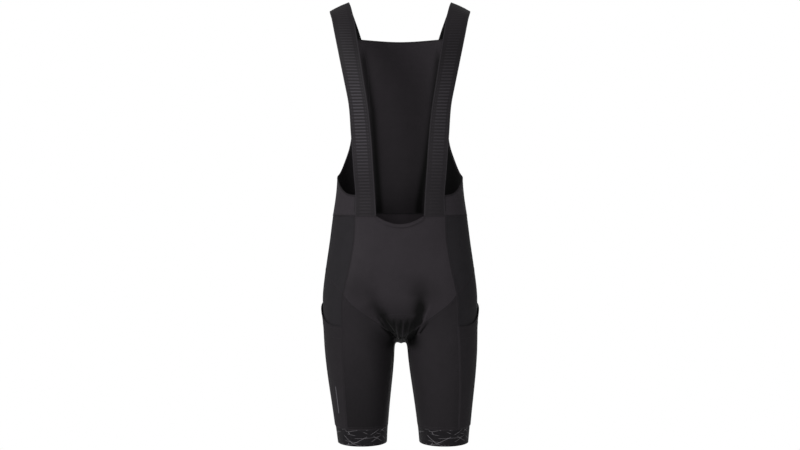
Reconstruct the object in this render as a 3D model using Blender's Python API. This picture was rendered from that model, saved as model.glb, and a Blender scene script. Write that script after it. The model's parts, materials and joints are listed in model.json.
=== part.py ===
"""Knee-length cargo bib shorts, held open in the shape that they take when worn.

Lengths in the tables are millimetres. The front of the garment faces -Y, +Z is up, and the origin lies
between the two places where the straps rest on the shoulders. Every cut piece is a wall of cloth on one
smooth figure: a trunk that is blended with two legs. The left half is worked out, then mirrored.
"""
import math

import bmesh
import bpy
import numpy as np

# Driving sizes
MM = 0.001
WALL = 1.5
SEAM_GAP = 0.3
LAY_GAP = 0.35
STRAP_WALL = 1.6
STRAP_WIDTH = 41.0
RIB_PITCH = 6.7
RIB_HEIGHT = 0.5
PATCH_WALL = 1.2
BINDING_WALL = 1.1
BINDING_DEPTH = 7.5
BINDING_END_SHARE = 0.04
POCKET_INSET = 1.4
PAD_WALL = 6.0
PAD_CLEARANCE = 4.4

WAIST = -446.0
WAIST_RISE_TO_BACK = 5.5
WAIST_HALF_DEPTH = 95.0
NECK_DROP_AT_STRAP = 0.5
NECK_DIP = 17.5
STRAP_SEAM_OUTER = -94.0
STRAP_SEAM_INNER = -49.0
GRIPPER_TOP = -890.0
HEM = -926.0
HEM_LEAN = 6.7
LEAN_START = -640.0

TRUNK_POWER = 2.3
LEG_POWER = 2.08
BLEND_RADIUS = 22.0
LEG_RAY = 84.0
FOLDS_END_AT_DEPTH = -20.0
SHARP_ANGLE = 40.0

# The trunk of the figure
# Columns: height, half width, front depth, back depth
TRUNK = (
    (20, 150, 52, 72),
    (-40, 150, 78, 84),
    (-100, 150, 100, 98),
    (-200, 146, 115, 107),
    (-280, 140, 117, 104),
    (-340, 134, 111, 95),
    (-400, 137, 102, 89),
    (-446, 144, 99, 95),
    (-500, 151, 100, 109),
    (-550, 156.5, 104, 120),
    (-600, 159, 106, 125),
    (-640, 155, 104, 122),
    (-664, 130, 95, 110),
    (-680, 88, 83, 95),
    (-690, 50, 70, 79),
    (-697, 20, 56, 62),
)

# One leg of the figure
# Columns: height, outer reach from the middle, inner reach, front depth, back depth
LEG = (
    (-500, 132, 22, 74, 80),
    (-560, 148, 12, 92, 104),
    (-600, 157, 9, 102, 120),
    (-640, 162, 9, 101, 120),
    (-668, 163, 10, 96, 114),
    (-702, 163, 11.5, 91, 104),
    (-728, 162, 13, 88, 96),
    (-754, 160, 15, 84, 90),
    (-792, 156, 20, 78, 83),
    (-830, 151, 25, 73, 78),
    (-869, 146, 29.5, 68, 73),
    (-895, 143, 32, 65.5, 70),
    (-940, 138, 35, 61, 65),
)

# Seams of the left half, by their places in the front or back view
# Columns: across, height
FRONT_SIDE_SEAM = ((-94, -446), (-95.5, -498), (-100, -527), (-104, -552), (-109, -573), (-117, -608))
FRONT_THIGH_SEAM = (
    (-117, -608),
    (-103, -626),
    (-82, -642),
    (-60, -657.5),
    (-38, -676),
    (-22, -693),
)
BACK_SIDE_SEAM = ((-80, -441), (-84, -490), (-93, -540), (-112, -600))
BACK_THIGH_SEAM = ((-112, -600), (-88, -636), (-60, -664), (-34, -690))
INSERT_FRONT_EDGE = ((-117, -608), (-119, -640), (-121, -720), (-121, -804), (-117, -890))
INSERT_BACK_EDGE = ((-112, -600), (-117, -660), (-120, -740), (-119, -810), (-114, -890))

# Places under the crotch, where the front and back views do not reach
# Columns: across, depth, height
CROTCH_CORNER = (-11, -48, -706)
CROTCH_EDGE_BACK = ((-15, 48, -708), (-12, 0, -716))
INSEAM = ((-13, -30, -728), (-16, -16, -760), (-21, -8, -800), (-27, -3, -850), (-31.5, 0, -890))

# The arch of the thigh insert over the hip, then the mouth of the pocket
# Columns: angle round the trunk from the front, height
INSERT_ARCH = ((66, -582), (80, -562), (96, -555), (112, -562), (126, -578))
POCKET_MOUTH = ((64, -673), (74, -666), (84, -648), (96, -633), (114, -625))
MOUTH_FRONT_HEIGHT = -672.5
MOUTH_BACK_HEIGHT = -630.0
MOUTH_GAPE = 2.6
GAPE_OF_NEXT_ROW = 0.3

# The edge of the bib from the strap, round the arm opening and up to the top corner
# Columns: across, height, where it lies: -1 front, 1 back
BIB_EDGE = (
    (-92.2, -405, -1),
    (-109, -404, -1),
    (-126, -387, -1),
    (-132.6, -370, -1),
    (-128, -353, 1),
    (-119, -327, 1),
    (-108.5, -296, 1),
    (-103, -250, 1),
    (-102, -200, 1),
    (-104.5, -160, 1),
    (-109.5, -100, 1),
    (-120.5, -58, 1),
)
BIB_CORNER_ROW = 6
BIB_LOWER_MIDDLE = -252.0
BIB_TOP_MIDDLE = -62.0
WING_EASE_ANGLE = 20.0
WING_RADIUS = 125.0

# One strap, from the front seam over the shoulder to the top corner of the bib
# Columns: inner edge across, depth, height, then outer edge across, depth, height
STRAP = (
    (-49.0, -95.5, -446.0, -94.0, -80.5, -446.0),
    (-50.9, -97.0, -404.0, -91.6, -82.0, -404.0),
    (-54.0, -106.0, -355.0, -95.0, -92.0, -355.0),
    (-58.9, -112.0, -280.0, -100.0, -98.0, -279.5),
    (-66.2, -113.0, -215.0, -105.2, -100.0, -214.0),
    (-72.2, -110.0, -178.6, -112.6, -97.0, -176.8),
    (-80.1, -101.0, -128.3, -123.2, -90.0, -126.5),
    (-88.9, -80.0, -75.5, -134.4, -72.0, -74.1),
    (-95.4, -57.0, -38.4, -142.0, -52.0, -38.5),
    (-103.9, -28.0, -4.0, -147.4, -27.0, -19.0),
    (-108.6, -3.0, 8.6, -149.0, -2.0, -10.9),
    (-106.5, 22.0, 3.0, -147.0, 23.0, -16.0),
    (-98.5, 48.0, -17.5, -139.5, 44.0, -34.0),
    (-91.5, 65.0, -36.0, -133.0, 55.0, -46.5),
)
STRAP_CROWN = 1.2
STRAP_EASE_LENGTH = 60.0
PLAIN_STRAP_ROWS = 8
BRIDGE_SHARES = (1 / 3, 2 / 3)

# The padded insert inside the crotch
# Columns: share of its length from the front, half width
PAD_OUTLINE = ((0.0, 10), (0.07, 14), (0.2, 16), (0.4, 24), (0.6, 34), (0.8, 44), (0.93, 38), (1.0, 22))
PAD_FRONT_HEIGHT = -648.0
PAD_BACK_HEIGHT = -640.0
PAD_COURSE = ((0, -70, -695), (0, -35, -712), (0, 10, -716), (0, 50, -708), (0, 84, -690))

# Folds pressed into the front at the crotch
# Columns: start across, start height, end across, end height, width, depth
CROTCH_FOLDS = (
    (-52, -652, -20, -690, 9, -1.7),
    (-66, -668, -26, -699, 10, -1.5),
    (-34, -640, -12, -684, 8, -1.2),
    (57, -640, 44, -690, 10, 1.8),
    (46, -662, 34, -694, 8, -1.6),
    (30, -668, 18, -696, 8, -1.2),
)

# Cells of the panels
NECK_COLUMNS = 6
STRAP_SEAM_SHARES = (0.2, 0.8)
SIDE_COLUMNS = 8
SIDE_ROWS = 7
THIGH_COLUMNS = 9
BACK_THIGH_COLUMNS = 12
SEAT_COLUMNS = 8
INSERT_COLUMNS = 8
ROWS_ABOVE_MOUTH = 3
ROWS_BELOW_MOUTH = 9
BIB_ROWS = 10
BAND_ROWS = 6
WING_COLUMNS = 8
BIB_HALF_COLUMNS = 8
INSEAM_GROWTH = 1.3
PAD_ROWS = 12
PAD_COLUMNS = 6
STEPS_PER_CELL = 4

# Finishes: colour, roughness, metallic
FINISHES = {
    "front_jersey": ((0.032, 0.028, 0.033), 0.62, 0.0),
    "dark_side_knit": ((0.015, 0.013, 0.015), 0.7, 0.0),
    "leg_jersey": ((0.024, 0.021, 0.024), 0.66, 0.0),
    "bib_mesh": ((0.02, 0.018, 0.021), 0.75, 0.0),
    "strap_elastic": ((0.036, 0.032, 0.037), 0.55, 0.0),
    "hem_elastic": ((0.022, 0.019, 0.022), 0.5, 0.0),
    "pad_foam": ((0.01, 0.009, 0.01), 0.85, 0.0),
}


# Tables and curves

def profile(rows):
    """Return a smooth curve through the columns of a table, read by its first column."""
    table = np.array(sorted(rows, key=lambda row: row[0]), float)
    heights, values = table[:, 0], table[:, 1:]
    slopes = np.gradient(values, heights, axis=0)

    def read(height):
        height = np.clip(np.asarray(height, float), heights[0], heights[-1])
        low = np.clip(np.searchsorted(heights, height) - 1, 0, len(heights) - 2)
        gap = (heights[low + 1] - heights[low])[..., None]
        t = (height - heights[low])[..., None] / gap
        start = values[low] * (1 + 2 * t) * (1 - t) ** 2 + slopes[low] * gap * t * (1 - t) ** 2
        end = values[low + 1] * t * t * (3 - 2 * t) - slopes[low + 1] * gap * t * t * (1 - t)
        return start + end

    return read


def spaced(points, count, growth=1.0):
    """Read a polyline again at equal steps along its length, or at steps that grow."""
    points = np.asarray(points, float)
    steps = np.linalg.norm(np.diff(points, axis=0), axis=1)
    along = np.concatenate(([0.0], np.cumsum(steps)))
    return read_along(points, along, along[-1] * np.linspace(0, 1, count + 1) ** growth)


def read_along(points, along, wanted):
    """Read each coordinate of a polyline at the wanted places along it."""
    columns = [np.interp(wanted, along, points[:, i]) for i in range(points.shape[1])]
    return np.stack(columns, axis=1)


def smooth_line(points, samples=16):
    """Return a dense smooth line through a few points."""
    points = np.asarray(points, float)
    steps = np.linalg.norm(np.diff(points, axis=0), axis=1)
    along = np.concatenate(([0.0], np.cumsum(steps)))
    rows = np.column_stack((along, points))
    return profile(rows)(np.linspace(0, along[-1], samples * len(points)))


# The figure

trunk_at = profile(TRUNK)
leg_at = profile(LEG)


def oval(x, y, half_width, front, back, power):
    """Signed reach of a point from a flattened ring, in millimetres."""
    depth = np.where(y < 0, front, back)
    share = (np.abs(x / half_width) ** power + np.abs(y / depth) ** power) ** (1 / power)
    return (share - 1) * np.minimum(half_width, depth)


def blend(first, second, radius):
    """Join two forms with a rounded hollow between them."""
    near = np.maximum(radius - np.abs(first - second), 0) / radius
    return np.minimum(first, second) - near * near * radius / 4


def fold_height(x, y, z):
    """Height of the pressed folds at a place on the front."""
    total = np.zeros_like(x)
    for x0, z0, x1, z1, width, depth in CROTCH_FOLDS:
        run = np.array((x1 - x0, z1 - z0))
        share = ((x - x0) * run[0] + (z - z0) * run[1]) / (run @ run)
        held = np.clip(share, 0, 1)
        away = np.hypot(x - x0 - held * run[0], z - z0 - held * run[1])
        total = total + depth * np.exp(-((away / width) ** 2)) * np.where(y < FOLDS_END_AT_DEPTH, 1.0, 0.0)
    return total


def figure(points):
    """Signed reach of points from the figure: negative inside."""
    x, y, z = points[..., 0], points[..., 1], points[..., 2]
    half_width, front, back = np.moveaxis(trunk_at(z), -1, 0)
    below = np.maximum(TRUNK[-1][0] - z, 0)
    trunk = oval(x, y, half_width, front, back, TRUNK_POWER) + below
    outer, inner, leg_front, leg_back = np.moveaxis(leg_at(z), -1, 0)
    middle, reach = (outer + inner) / 2, (outer - inner) / 2
    near_leg = oval(np.abs(x) - middle, y, reach, leg_front, leg_back, LEG_POWER)
    far_leg = oval(np.abs(x) + middle, y, reach, leg_front, leg_back, LEG_POWER)
    above = np.maximum(z - LEG[0][0], 0)
    legs = blend(near_leg, far_leg, BLEND_RADIUS) + above
    return blend(trunk, legs, BLEND_RADIUS)


def slope(points, step=0.4):
    """Gradient of the figure's reach."""
    parts = []
    for axis in range(3):
        nudge = np.zeros(3)
        nudge[axis] = step
        parts.append((figure(points + nudge) - figure(points - nudge)) / (2 * step))
    return np.stack(parts, axis=-1)


def normals(points):
    """Outward directions of the figure."""
    grade = slope(points)
    return grade / np.linalg.norm(grade, axis=-1, keepdims=True)


def settle(points, rounds=14):
    """Bring points onto the figure by the shortest way."""
    points = np.array(points, float)
    for _ in range(rounds):
        grade = slope(points)
        move = figure(points)[..., None] * grade / (grade**2).sum(axis=-1, keepdims=True)
        length = np.linalg.norm(move, axis=-1, keepdims=True)
        points = points - move * np.minimum(1, 12 / np.maximum(length, 1e-9))
    return points


def strike(start, way, limit=260.0):
    """Follow rays from inside the figure to its surface, no further than a limit outside it."""
    start, way = np.broadcast_arrays(np.asarray(start, float), np.asarray(way, float))
    near = np.zeros(start.shape[:-1])
    far = np.full(start.shape[:-1], limit)
    for _ in range(34):
        middle = (near + far) / 2
        inside = figure(start + way * middle[..., None]) < 0
        near = np.where(inside, middle, near)
        far = np.where(inside, far, middle)
    return start + way * near[..., None]


def facing(places, side):
    """Points of the front (-1) or back (1) over places given by across and height."""
    places = np.asarray(places, float)
    start = np.stack((places[..., 0], np.zeros_like(places[..., 0]), places[..., 1]), axis=-1)
    return strike(start, (0.0, side, 0.0))


def round_trunk(angles, heights):
    """Points of the left half by angle from the front, in degrees."""
    turn = np.radians(np.asarray(angles, float))
    heights = np.broadcast_to(np.asarray(heights, float), turn.shape)
    zero = np.zeros_like(turn)
    start = np.stack((zero, zero, heights), axis=-1)
    return strike(start, np.stack((-np.sin(turn), -np.cos(turn), zero), axis=-1))


def angle_of(point):
    """Angle of a point round the trunk from the front, in degrees."""
    return math.degrees(math.atan2(-point[0], -point[1]))


def mirrored(points):
    """The same points on the right half."""
    return np.asarray(points, float) * (-1, 1, 1)


def seam(points, count, growth=1.0):
    """A seam on the figure through a few points, in equal or growing steps."""
    return settle(spaced(settle(smooth_line(points)), count, growth))


# Seams of the left half

def waist_height(y):
    """The waist seam rises a little towards the back."""
    return WAIST + WAIST_RISE_TO_BACK * (y + WAIST_HALF_DEPTH) / (2 * WAIST_HALF_DEPTH)


def waist_line(first_angle, last_angle, count):
    """The waist seam between two angles."""
    angles = np.linspace(first_angle, last_angle, count + 1)
    line = round_trunk(angles, WAIST)
    for _ in range(3):
        line = round_trunk(angles, waist_height(line[:, 1]))
    return line


def joined(*lines):
    """One line from lines that meet end to end."""
    parts = [lines[0]] + [line[1:] for line in lines[1:]]
    return np.concatenate(parts)


def left_seams():
    """All seams of the left half, by name."""
    seams = {}
    front_side = facing(FRONT_SIDE_SEAM, -1)
    seams["front_side"] = seam(front_side, SIDE_ROWS)
    back_side = facing(BACK_SIDE_SEAM, 1)
    back_side[0, 2] = waist_height(back_side[0, 1])
    seams["back_side"] = seam(back_side, SIDE_ROWS)
    corner = settle(np.array([CROTCH_CORNER], float))
    front_thigh = np.concatenate((facing(FRONT_THIGH_SEAM, -1), corner))
    seams["front_thigh"] = seam(front_thigh, THIGH_COLUMNS)
    back_thigh = np.concatenate((facing(BACK_THIGH_SEAM, 1), settle(np.array(CROTCH_EDGE_BACK, float)), corner))
    seams["back_thigh"] = seam(back_thigh, BACK_THIGH_COLUMNS)
    inseam = np.concatenate((corner, settle(np.array(INSEAM, float))))
    seams["inseam"] = seam(inseam, insert_rows(), INSEAM_GROWTH)
    for name, table, side, mouth in (
        ("insert_front", INSERT_FRONT_EDGE, -1, MOUTH_FRONT_HEIGHT),
        ("insert_back", INSERT_BACK_EDGE, 1, MOUTH_BACK_HEIGHT),
    ):
        seams[name] = edge_with_mouth(facing(table, side), mouth)
    arch = np.array(INSERT_ARCH, float)
    over = round_trunk(arch[:, 0], arch[:, 1])
    seams["arch"] = seam(np.concatenate((front_side[-1:], over, back_side[-1:])), INSERT_COLUMNS)
    mouth = np.array(POCKET_MOUTH, float)
    ends = [seams[name][ROWS_ABOVE_MOUTH : ROWS_ABOVE_MOUTH + 1] for name in ("insert_front", "insert_back")]
    line = np.concatenate((ends[0], round_trunk(mouth[:, 0], mouth[:, 1]), ends[1]))
    seams["mouth"] = seam(line, INSERT_COLUMNS)
    for name in ("inseam", "insert_front", "insert_back"):
        seams[name][-1, 2] = GRIPPER_TOP
        seams[name][-1] = level_settle(seams[name][-1:])[0]
    angle_front = angle_of(seams["front_side"][0])
    angle_back = angle_of(seams["back_side"][0])
    seams["waist_side"] = waist_line(angle_front, angle_back, SIDE_COLUMNS)
    seams["front_side"][0] = seams["waist_side"][0]
    seams["back_side"][0] = seams["waist_side"][-1]
    seams["waist_back"] = waist_line(angle_back, 360 - angle_back, SEAT_COLUMNS)
    return seams


def insert_rows():
    """Rows of cells along the leg panels."""
    return ROWS_ABOVE_MOUTH + ROWS_BELOW_MOUTH


def edge_with_mouth(points, mouth_height):
    """An edge of the thigh insert, with one of its places at the mouth of the pocket."""
    line = settle(smooth_line(points))
    split = int(np.argmin(np.abs(line[:, 2] - mouth_height)))
    upper = spaced(line[: split + 1], ROWS_ABOVE_MOUTH)
    lower = spaced(line[split:], ROWS_BELOW_MOUTH)
    return settle(joined(upper, lower))


def level_settle(points, rounds=12):
    """Bring points onto the figure without a change of height."""
    points = np.array(points, float)
    for _ in range(rounds):
        grade = slope(points)
        grade[:, 2] = 0
        points = points - figure(points)[:, None] * grade / (grade**2).sum(axis=-1, keepdims=True)
    return points


def hem_arc(start, end, way, count):
    """Level line round the left leg from one edge to the next; way 1 turns from the front to the outside."""
    outer, inner = leg_at(GRIPPER_TOP)[:2]
    middle = -(outer + inner) / 2
    first = math.degrees(math.atan2(-(start[0] - middle), -start[1])) % 360
    last = math.degrees(math.atan2(-(end[0] - middle), -end[1])) % 360
    if way > 0 and last < first:
        last += 360
    if way < 0 and last > first:
        last -= 360
    turn = np.radians(np.linspace(first, last, count + 1))
    zero = np.zeros_like(turn)
    centre = (middle, 0.0, GRIPPER_TOP)
    line = strike(centre, np.stack((-np.sin(turn), -np.cos(turn), zero), axis=-1), LEG_RAY)
    line[0], line[-1] = start, end
    return line


# Panels

def patch(top, bottom, left, right):
    """Fill four edges with a grid of points on the figure."""
    rows, columns = len(left), len(top)
    v = np.linspace(0, 1, rows)[:, None, None]
    u = np.linspace(0, 1, columns)[None, :, None]
    across = (1 - v) * top[None] + v * bottom[None]
    down = (1 - u) * left[:, None] + u * right[:, None]
    corners = (1 - u) * (1 - v) * top[0] + u * (1 - v) * top[-1] + (1 - u) * v * bottom[0] + u * v * bottom[-1]
    grid = settle(across + down - corners)
    grid[0], grid[-1], grid[:, 0], grid[:, -1] = top, bottom, left, right
    return grid


def drawn_in(grid, gap=SEAM_GAP / 2):
    """Draw the edges of a grid in by half a seam gap."""
    grid = grid.copy()
    source = grid.copy()
    for edge, inner in ((0, 1), (-1, -2)):
        way = source[inner] - source[edge]
        grid[edge] += gap * way / np.linalg.norm(way, axis=-1, keepdims=True)
        way = source[:, inner] - source[:, edge]
        grid[:, edge] += gap * way / np.linalg.norm(way, axis=-1, keepdims=True)
    return grid


def lean(points):
    """The legs lean a little to one side towards the hem."""
    points = np.array(points, float)
    points[..., 0] += HEM_LEAN * np.clip((LEAN_START - points[..., 2]) / (LEAN_START - HEM), 0, 1)
    return points


def pressed(points):
    """Points of a panel with the folds at the crotch pressed in."""
    height = fold_height(points[..., 0], points[..., 1], points[..., 2])
    return points + normals(points) * height[..., None]


def finish_material(name):
    """The material of one cloth."""
    material = bpy.data.materials.get(name)
    if material is None:
        colour, roughness, metallic = FINISHES[name]
        material = bpy.data.materials.new(name)
        material.use_nodes = True
        shader = material.node_tree.nodes["Principled BSDF"]
        shader.inputs["Base Color"].default_value = (*colour, 1)
        shader.inputs["Roughness"].default_value = roughness
        shader.inputs["Metallic"].default_value = metallic
    return material


def triangles(rows, crossed=False):
    """Two triangles for each cell of a grid of vertices; crossed cuts the cells the other way."""
    found = []
    for upper, lower in zip(rows[:-1], rows[1:]):
        for a, b, c, d in zip(upper[:-1], upper[1:], lower[1:], lower[:-1]):
            found += ((a, b, d), (b, c, d)) if crossed else ((a, b, c), (a, c, d))
    return found


def add_rim(bm, outside, inside):
    """Close the wall between an outer line and an inner line of as many vertices."""
    for i in range(len(outside) - 1):
        bm.faces.new((outside[i], inside[i], inside[i + 1]))
        bm.faces.new((outside[i], inside[i + 1], outside[i + 1]))


def add_object(name, bm, finish):
    """Turn the mesh into a named object with its material."""
    bmesh.ops.recalc_face_normals(bm, faces=bm.faces)
    if bm.calc_volume(signed=True) < 0:
        bmesh.ops.reverse_faces(bm, faces=bm.faces)
    mesh = bpy.data.meshes.new(name)
    bm.to_mesh(mesh)
    bm.free()
    mesh.shade_smooth()
    mesh.set_sharp_from_angle(angle=math.radians(SHARP_ANGLE))
    mesh.materials.append(finish_material(finish))
    obj = bpy.data.objects.new(name, mesh)
    bpy.context.collection.objects.link(obj)
    return obj


def wall(name, pairs, finish):
    """A wall of cloth between pairs of outer and inner grids; grids that share points are joined."""
    bm = bmesh.new()
    found, inside = {}, {}
    cells = []
    for outer, inner in pairs:
        rows = []
        for out_row, in_row in zip(outer, inner):
            row = []
            for out_point, in_point in zip(out_row, in_row):
                place = tuple(np.round(out_point, 3))
                if place not in found:
                    found[place] = bm.verts.new(lean(out_point) * MM)
                    inside[found[place]] = bm.verts.new(lean(in_point) * MM)
                row.append(found[place])
            rows.append(row)
        cells += triangles(rows)
    for cell in cells:
        bm.faces.new(cell)
    rim = [edge.verts[:] for edge in bm.edges if edge.is_boundary]
    for cell in cells:
        bm.faces.new([inside[vert] for vert in reversed(cell)])
    for first, second in rim:
        bm.faces.new((first, inside[first], inside[second]))
        bm.faces.new((first, inside[second], second))
    return add_object(name, bm, finish)


def panel(name, grid, finish):
    """A sewn panel: its outer face on the figure and its wall inside."""
    grid = drawn_in(grid)
    across = normals(grid)
    outer = pressed(grid)
    return wall(name, [(outer, outer - across * WALL)], finish)


def overlay(name, grid, across, gap, thickness, finish):
    """A piece that lies on a panel: the panel's own points, moved out."""
    inner = grid + across * gap
    return wall(name, [(inner + across * thickness, inner)], finish)


def both_sides(make, name, grid, *rest):
    """Make a piece on the left, and its mirror on the right."""
    make(f"{name}_left", grid, *rest)
    make(f"{name}_right", mirrored(grid)[:, ::-1], *rest)


# Pieces

def front_top_line():
    """Upper edge of the front panel: strap seam, neckline, strap seam."""
    seam_width = STRAP_SEAM_INNER - STRAP_SEAM_OUTER
    base = [STRAP_SEAM_OUTER + seam_width * share for share in (0.0, *STRAP_SEAM_SHARES)]
    neck_x = np.linspace(STRAP_SEAM_INNER, 0, NECK_COLUMNS // 2 + 1)
    neck_z = WAIST - NECK_DROP_AT_STRAP - NECK_DIP * (1 - (neck_x / STRAP_SEAM_INNER) ** 2)
    places = [(x, WAIST) for x in base] + list(zip(neck_x, neck_z))
    half = facing(places, -1)
    return np.concatenate((half, mirrored(half)[-2::-1]))


def front_panel(seams):
    """The front, from the straps to the crotch, with the binding of its neckline."""
    top = front_top_line()
    left = joined(seams["front_side"], seams["front_thigh"])
    left[0] = top[0]
    columns = len(top) - 1
    share = np.linspace(-1, 1, columns + 1)
    bottom = settle(np.stack((share * -left[-1][0], left[-1][1] + 0 * share, left[-1][2] + 0 * share), axis=-1))
    bottom[0], bottom[-1] = left[-1], mirrored(left[-1])
    grid = patch(top, bottom, left, mirrored(left))
    first = len(STRAP_SEAM_SHARES) + 1
    last = first + NECK_COLUMNS
    down = grid[1] - grid[0]
    reach = BINDING_DEPTH / np.linalg.norm(down, axis=-1, keepdims=True)
    hem_row = settle(grid[0] + down * reach)
    hem_row[0] = grid[0, 0] + down[0] * reach[0]
    hem_row[-1] = grid[0, -1] + down[-1] * reach[-1]
    grid = np.concatenate((grid[:1], hem_row[None], grid[1:]))
    panel("front_panel", grid, "front_jersey")
    strip = grid[:2, first : last + 1].copy()
    for edge, inner in ((0, 1), (-1, -2)):
        strip[:, edge] += BINDING_END_SHARE * (strip[:, inner] - strip[:, edge])
    overlay("neck_binding", strip, normals(strip), LAY_GAP, BINDING_WALL, "front_jersey")
    return bottom


def seat_panel(seams, crotch_line):
    """The seat, from the back waist under the crotch to the front panel."""
    left = joined(seams["back_side"], seams["back_thigh"])
    line = spaced(crotch_line, SEAT_COLUMNS)
    line[0], line[-1] = left[-1], mirrored(left[-1])
    panel("seat_panel", patch(seams["waist_back"], line, left, mirrored(left)), "front_jersey")


def side_panels(seams):
    """The dark panels over the hips."""
    grid = patch(seams["waist_side"], seams["arch"], seams["front_side"], seams["back_side"])
    both_sides(panel, "side_panel", grid, "dark_side_knit")


def leg_panels(seams):
    """Front and back of each leg, the insert between them and the cargo pocket on it."""
    corner = {name: seams[name][-1] for name in ("insert_front", "insert_back", "inseam")}
    front_hem = hem_arc(corner["insert_front"], corner["inseam"], -1, THIGH_COLUMNS)
    back_hem = hem_arc(corner["insert_back"], corner["inseam"], 1, BACK_THIGH_COLUMNS)
    side_hem = hem_arc(corner["insert_front"], corner["insert_back"], 1, INSERT_COLUMNS)
    front = patch(seams["front_thigh"], front_hem, seams["insert_front"], seams["inseam"])
    back = patch(seams["back_thigh"], back_hem, seams["insert_back"], seams["inseam"])
    both_sides(panel, "leg_front", front, "leg_jersey")
    both_sides(panel, "leg_back", back, "leg_jersey")
    split = ROWS_ABOVE_MOUTH
    upper = patch(
        seams["arch"], seams["mouth"], seams["insert_front"][: split + 1], seams["insert_back"][: split + 1]
    )
    lower = patch(seams["mouth"], side_hem, seams["insert_front"][split:], seams["insert_back"][split:])
    insert = np.concatenate((upper, lower[1:]))
    both_sides(panel, "thigh_insert", insert, "dark_side_knit")
    both_sides(pocket, "cargo_pocket", insert[split:], "leg_jersey")
    return front_hem, side_hem, back_hem


def pocket(name, grid, finish):
    """The pocket lies on the insert and stands off a little at its mouth."""
    grid = drawn_in(grid)
    across = normals(grid)
    grid = drawn_in(grid, POCKET_INSET)
    u = np.linspace(0, 1, grid.shape[1])[None, :, None]
    gape = np.zeros((grid.shape[0], 1, 1))
    gape[0], gape[1] = MOUTH_GAPE, MOUTH_GAPE * GAPE_OF_NEXT_ROW
    lift = LAY_GAP + gape * np.sin(np.pi * u)
    inner = grid + across * lift
    wall(name, [(inner + across * PATCH_WALL, inner)], finish)


def grippers(front_hem, side_hem, back_hem):
    """The elastic band at the hem of each leg."""
    ring = joined(front_hem[::-1], side_hem, back_hem)
    rows = []
    for height in (GRIPPER_TOP - SEAM_GAP / 2, (GRIPPER_TOP + HEM) / 2, HEM):
        row = ring.copy()
        row[:, 2] = height
        row = level_settle(row)
        row[-1] = row[0]
        rows.append(row)
    grid = np.stack(rows)
    for name, side in (("gripper_left", grid), ("gripper_right", mirrored(grid)[:, ::-1])):
        across = normals(side)
        across[..., 2] = 0
        across /= np.linalg.norm(across, axis=-1, keepdims=True)
        wall(name, [(side, side - across * WALL)], "hem_elastic")


def bib_row(edge_point, middle_height):
    """One row of the left half of the upper bib: two columns under the strap, then on to the middle."""
    share = np.linspace(0, 1, 60)
    angles = angle_of(edge_point) + (180 - angle_of(edge_point)) * share
    heights = edge_point[2] + (middle_height - edge_point[2]) * np.sin(share * math.pi / 2) ** 2
    line = round_trunk(angles, heights)
    along = np.concatenate(([0.0], np.cumsum(np.linalg.norm(np.diff(line, axis=0), axis=1))))
    past_strap = np.linspace(STRAP_WIDTH, along[-1], BIB_HALF_COLUMNS - 1)
    return read_along(line, along, np.concatenate(([0, STRAP_WIDTH / 2], past_strap)))


def under_opening(angles, tops, strap_turn):
    """The left half of the band under the arm opening, from the waist up to its top line."""
    waist = waist_height(round_trunk(angles, WAIST)[:, 1]) + SEAM_GAP / 2
    rows = []
    for share in np.linspace(0, 1, BAND_ROWS + 1):
        ease = np.clip(1 - (angles - angles[0]) / WING_EASE_ANGLE, 0, 1)
        rows.append(round_trunk(angles - strap_turn * (1 - share) * ease, waist + (tops - waist) * share))
    return np.stack(rows)


def bib_panel(seams):
    """The back of the bib with the wings that reach round to the straps."""
    table = np.array(BIB_EDGE, float)
    points = np.concatenate([facing(row[None, :2], row[2]) for row in table])
    opening = smooth_line(points[: BIB_CORNER_ROW + 1])
    edge = seam(points[BIB_CORNER_ROW:], BIB_ROWS)
    middle = np.linspace(BIB_LOWER_MIDDLE, BIB_TOP_MIDDLE, BIB_ROWS + 1)
    upper = settle(np.stack([bib_row(edge[i], middle[i]) for i in range(BIB_ROWS + 1)]))
    first = angle_of(opening[0]) - math.degrees(SEAM_GAP / WING_RADIUS)
    turns = np.linspace(first, angle_of(edge[0]), WING_COLUMNS + 1)
    opening_turns = [angle_of(point) for point in opening]
    tops = np.interp(turns, opening_turns, opening[:, 2])
    strap_turn = first - angle_of(seams["waist_side"][0])
    wing = under_opening(turns, tops, strap_turn)
    behind = under_opening(np.array([angle_of(point) for point in upper[0]]), upper[0, :, 2], 0)
    behind[-1] = upper[0]
    wing[:, -1] = behind[:, 0]
    band = np.concatenate((wing, behind[:, 1:]), axis=1)
    grids = [np.concatenate((half, mirrored(half)[:, -2::-1]), axis=1) for half in (band, upper)]
    wall("bib_back", [(grid, grid - normals(grid) * WALL) for grid in grids], "bib_mesh")
    return upper


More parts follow.
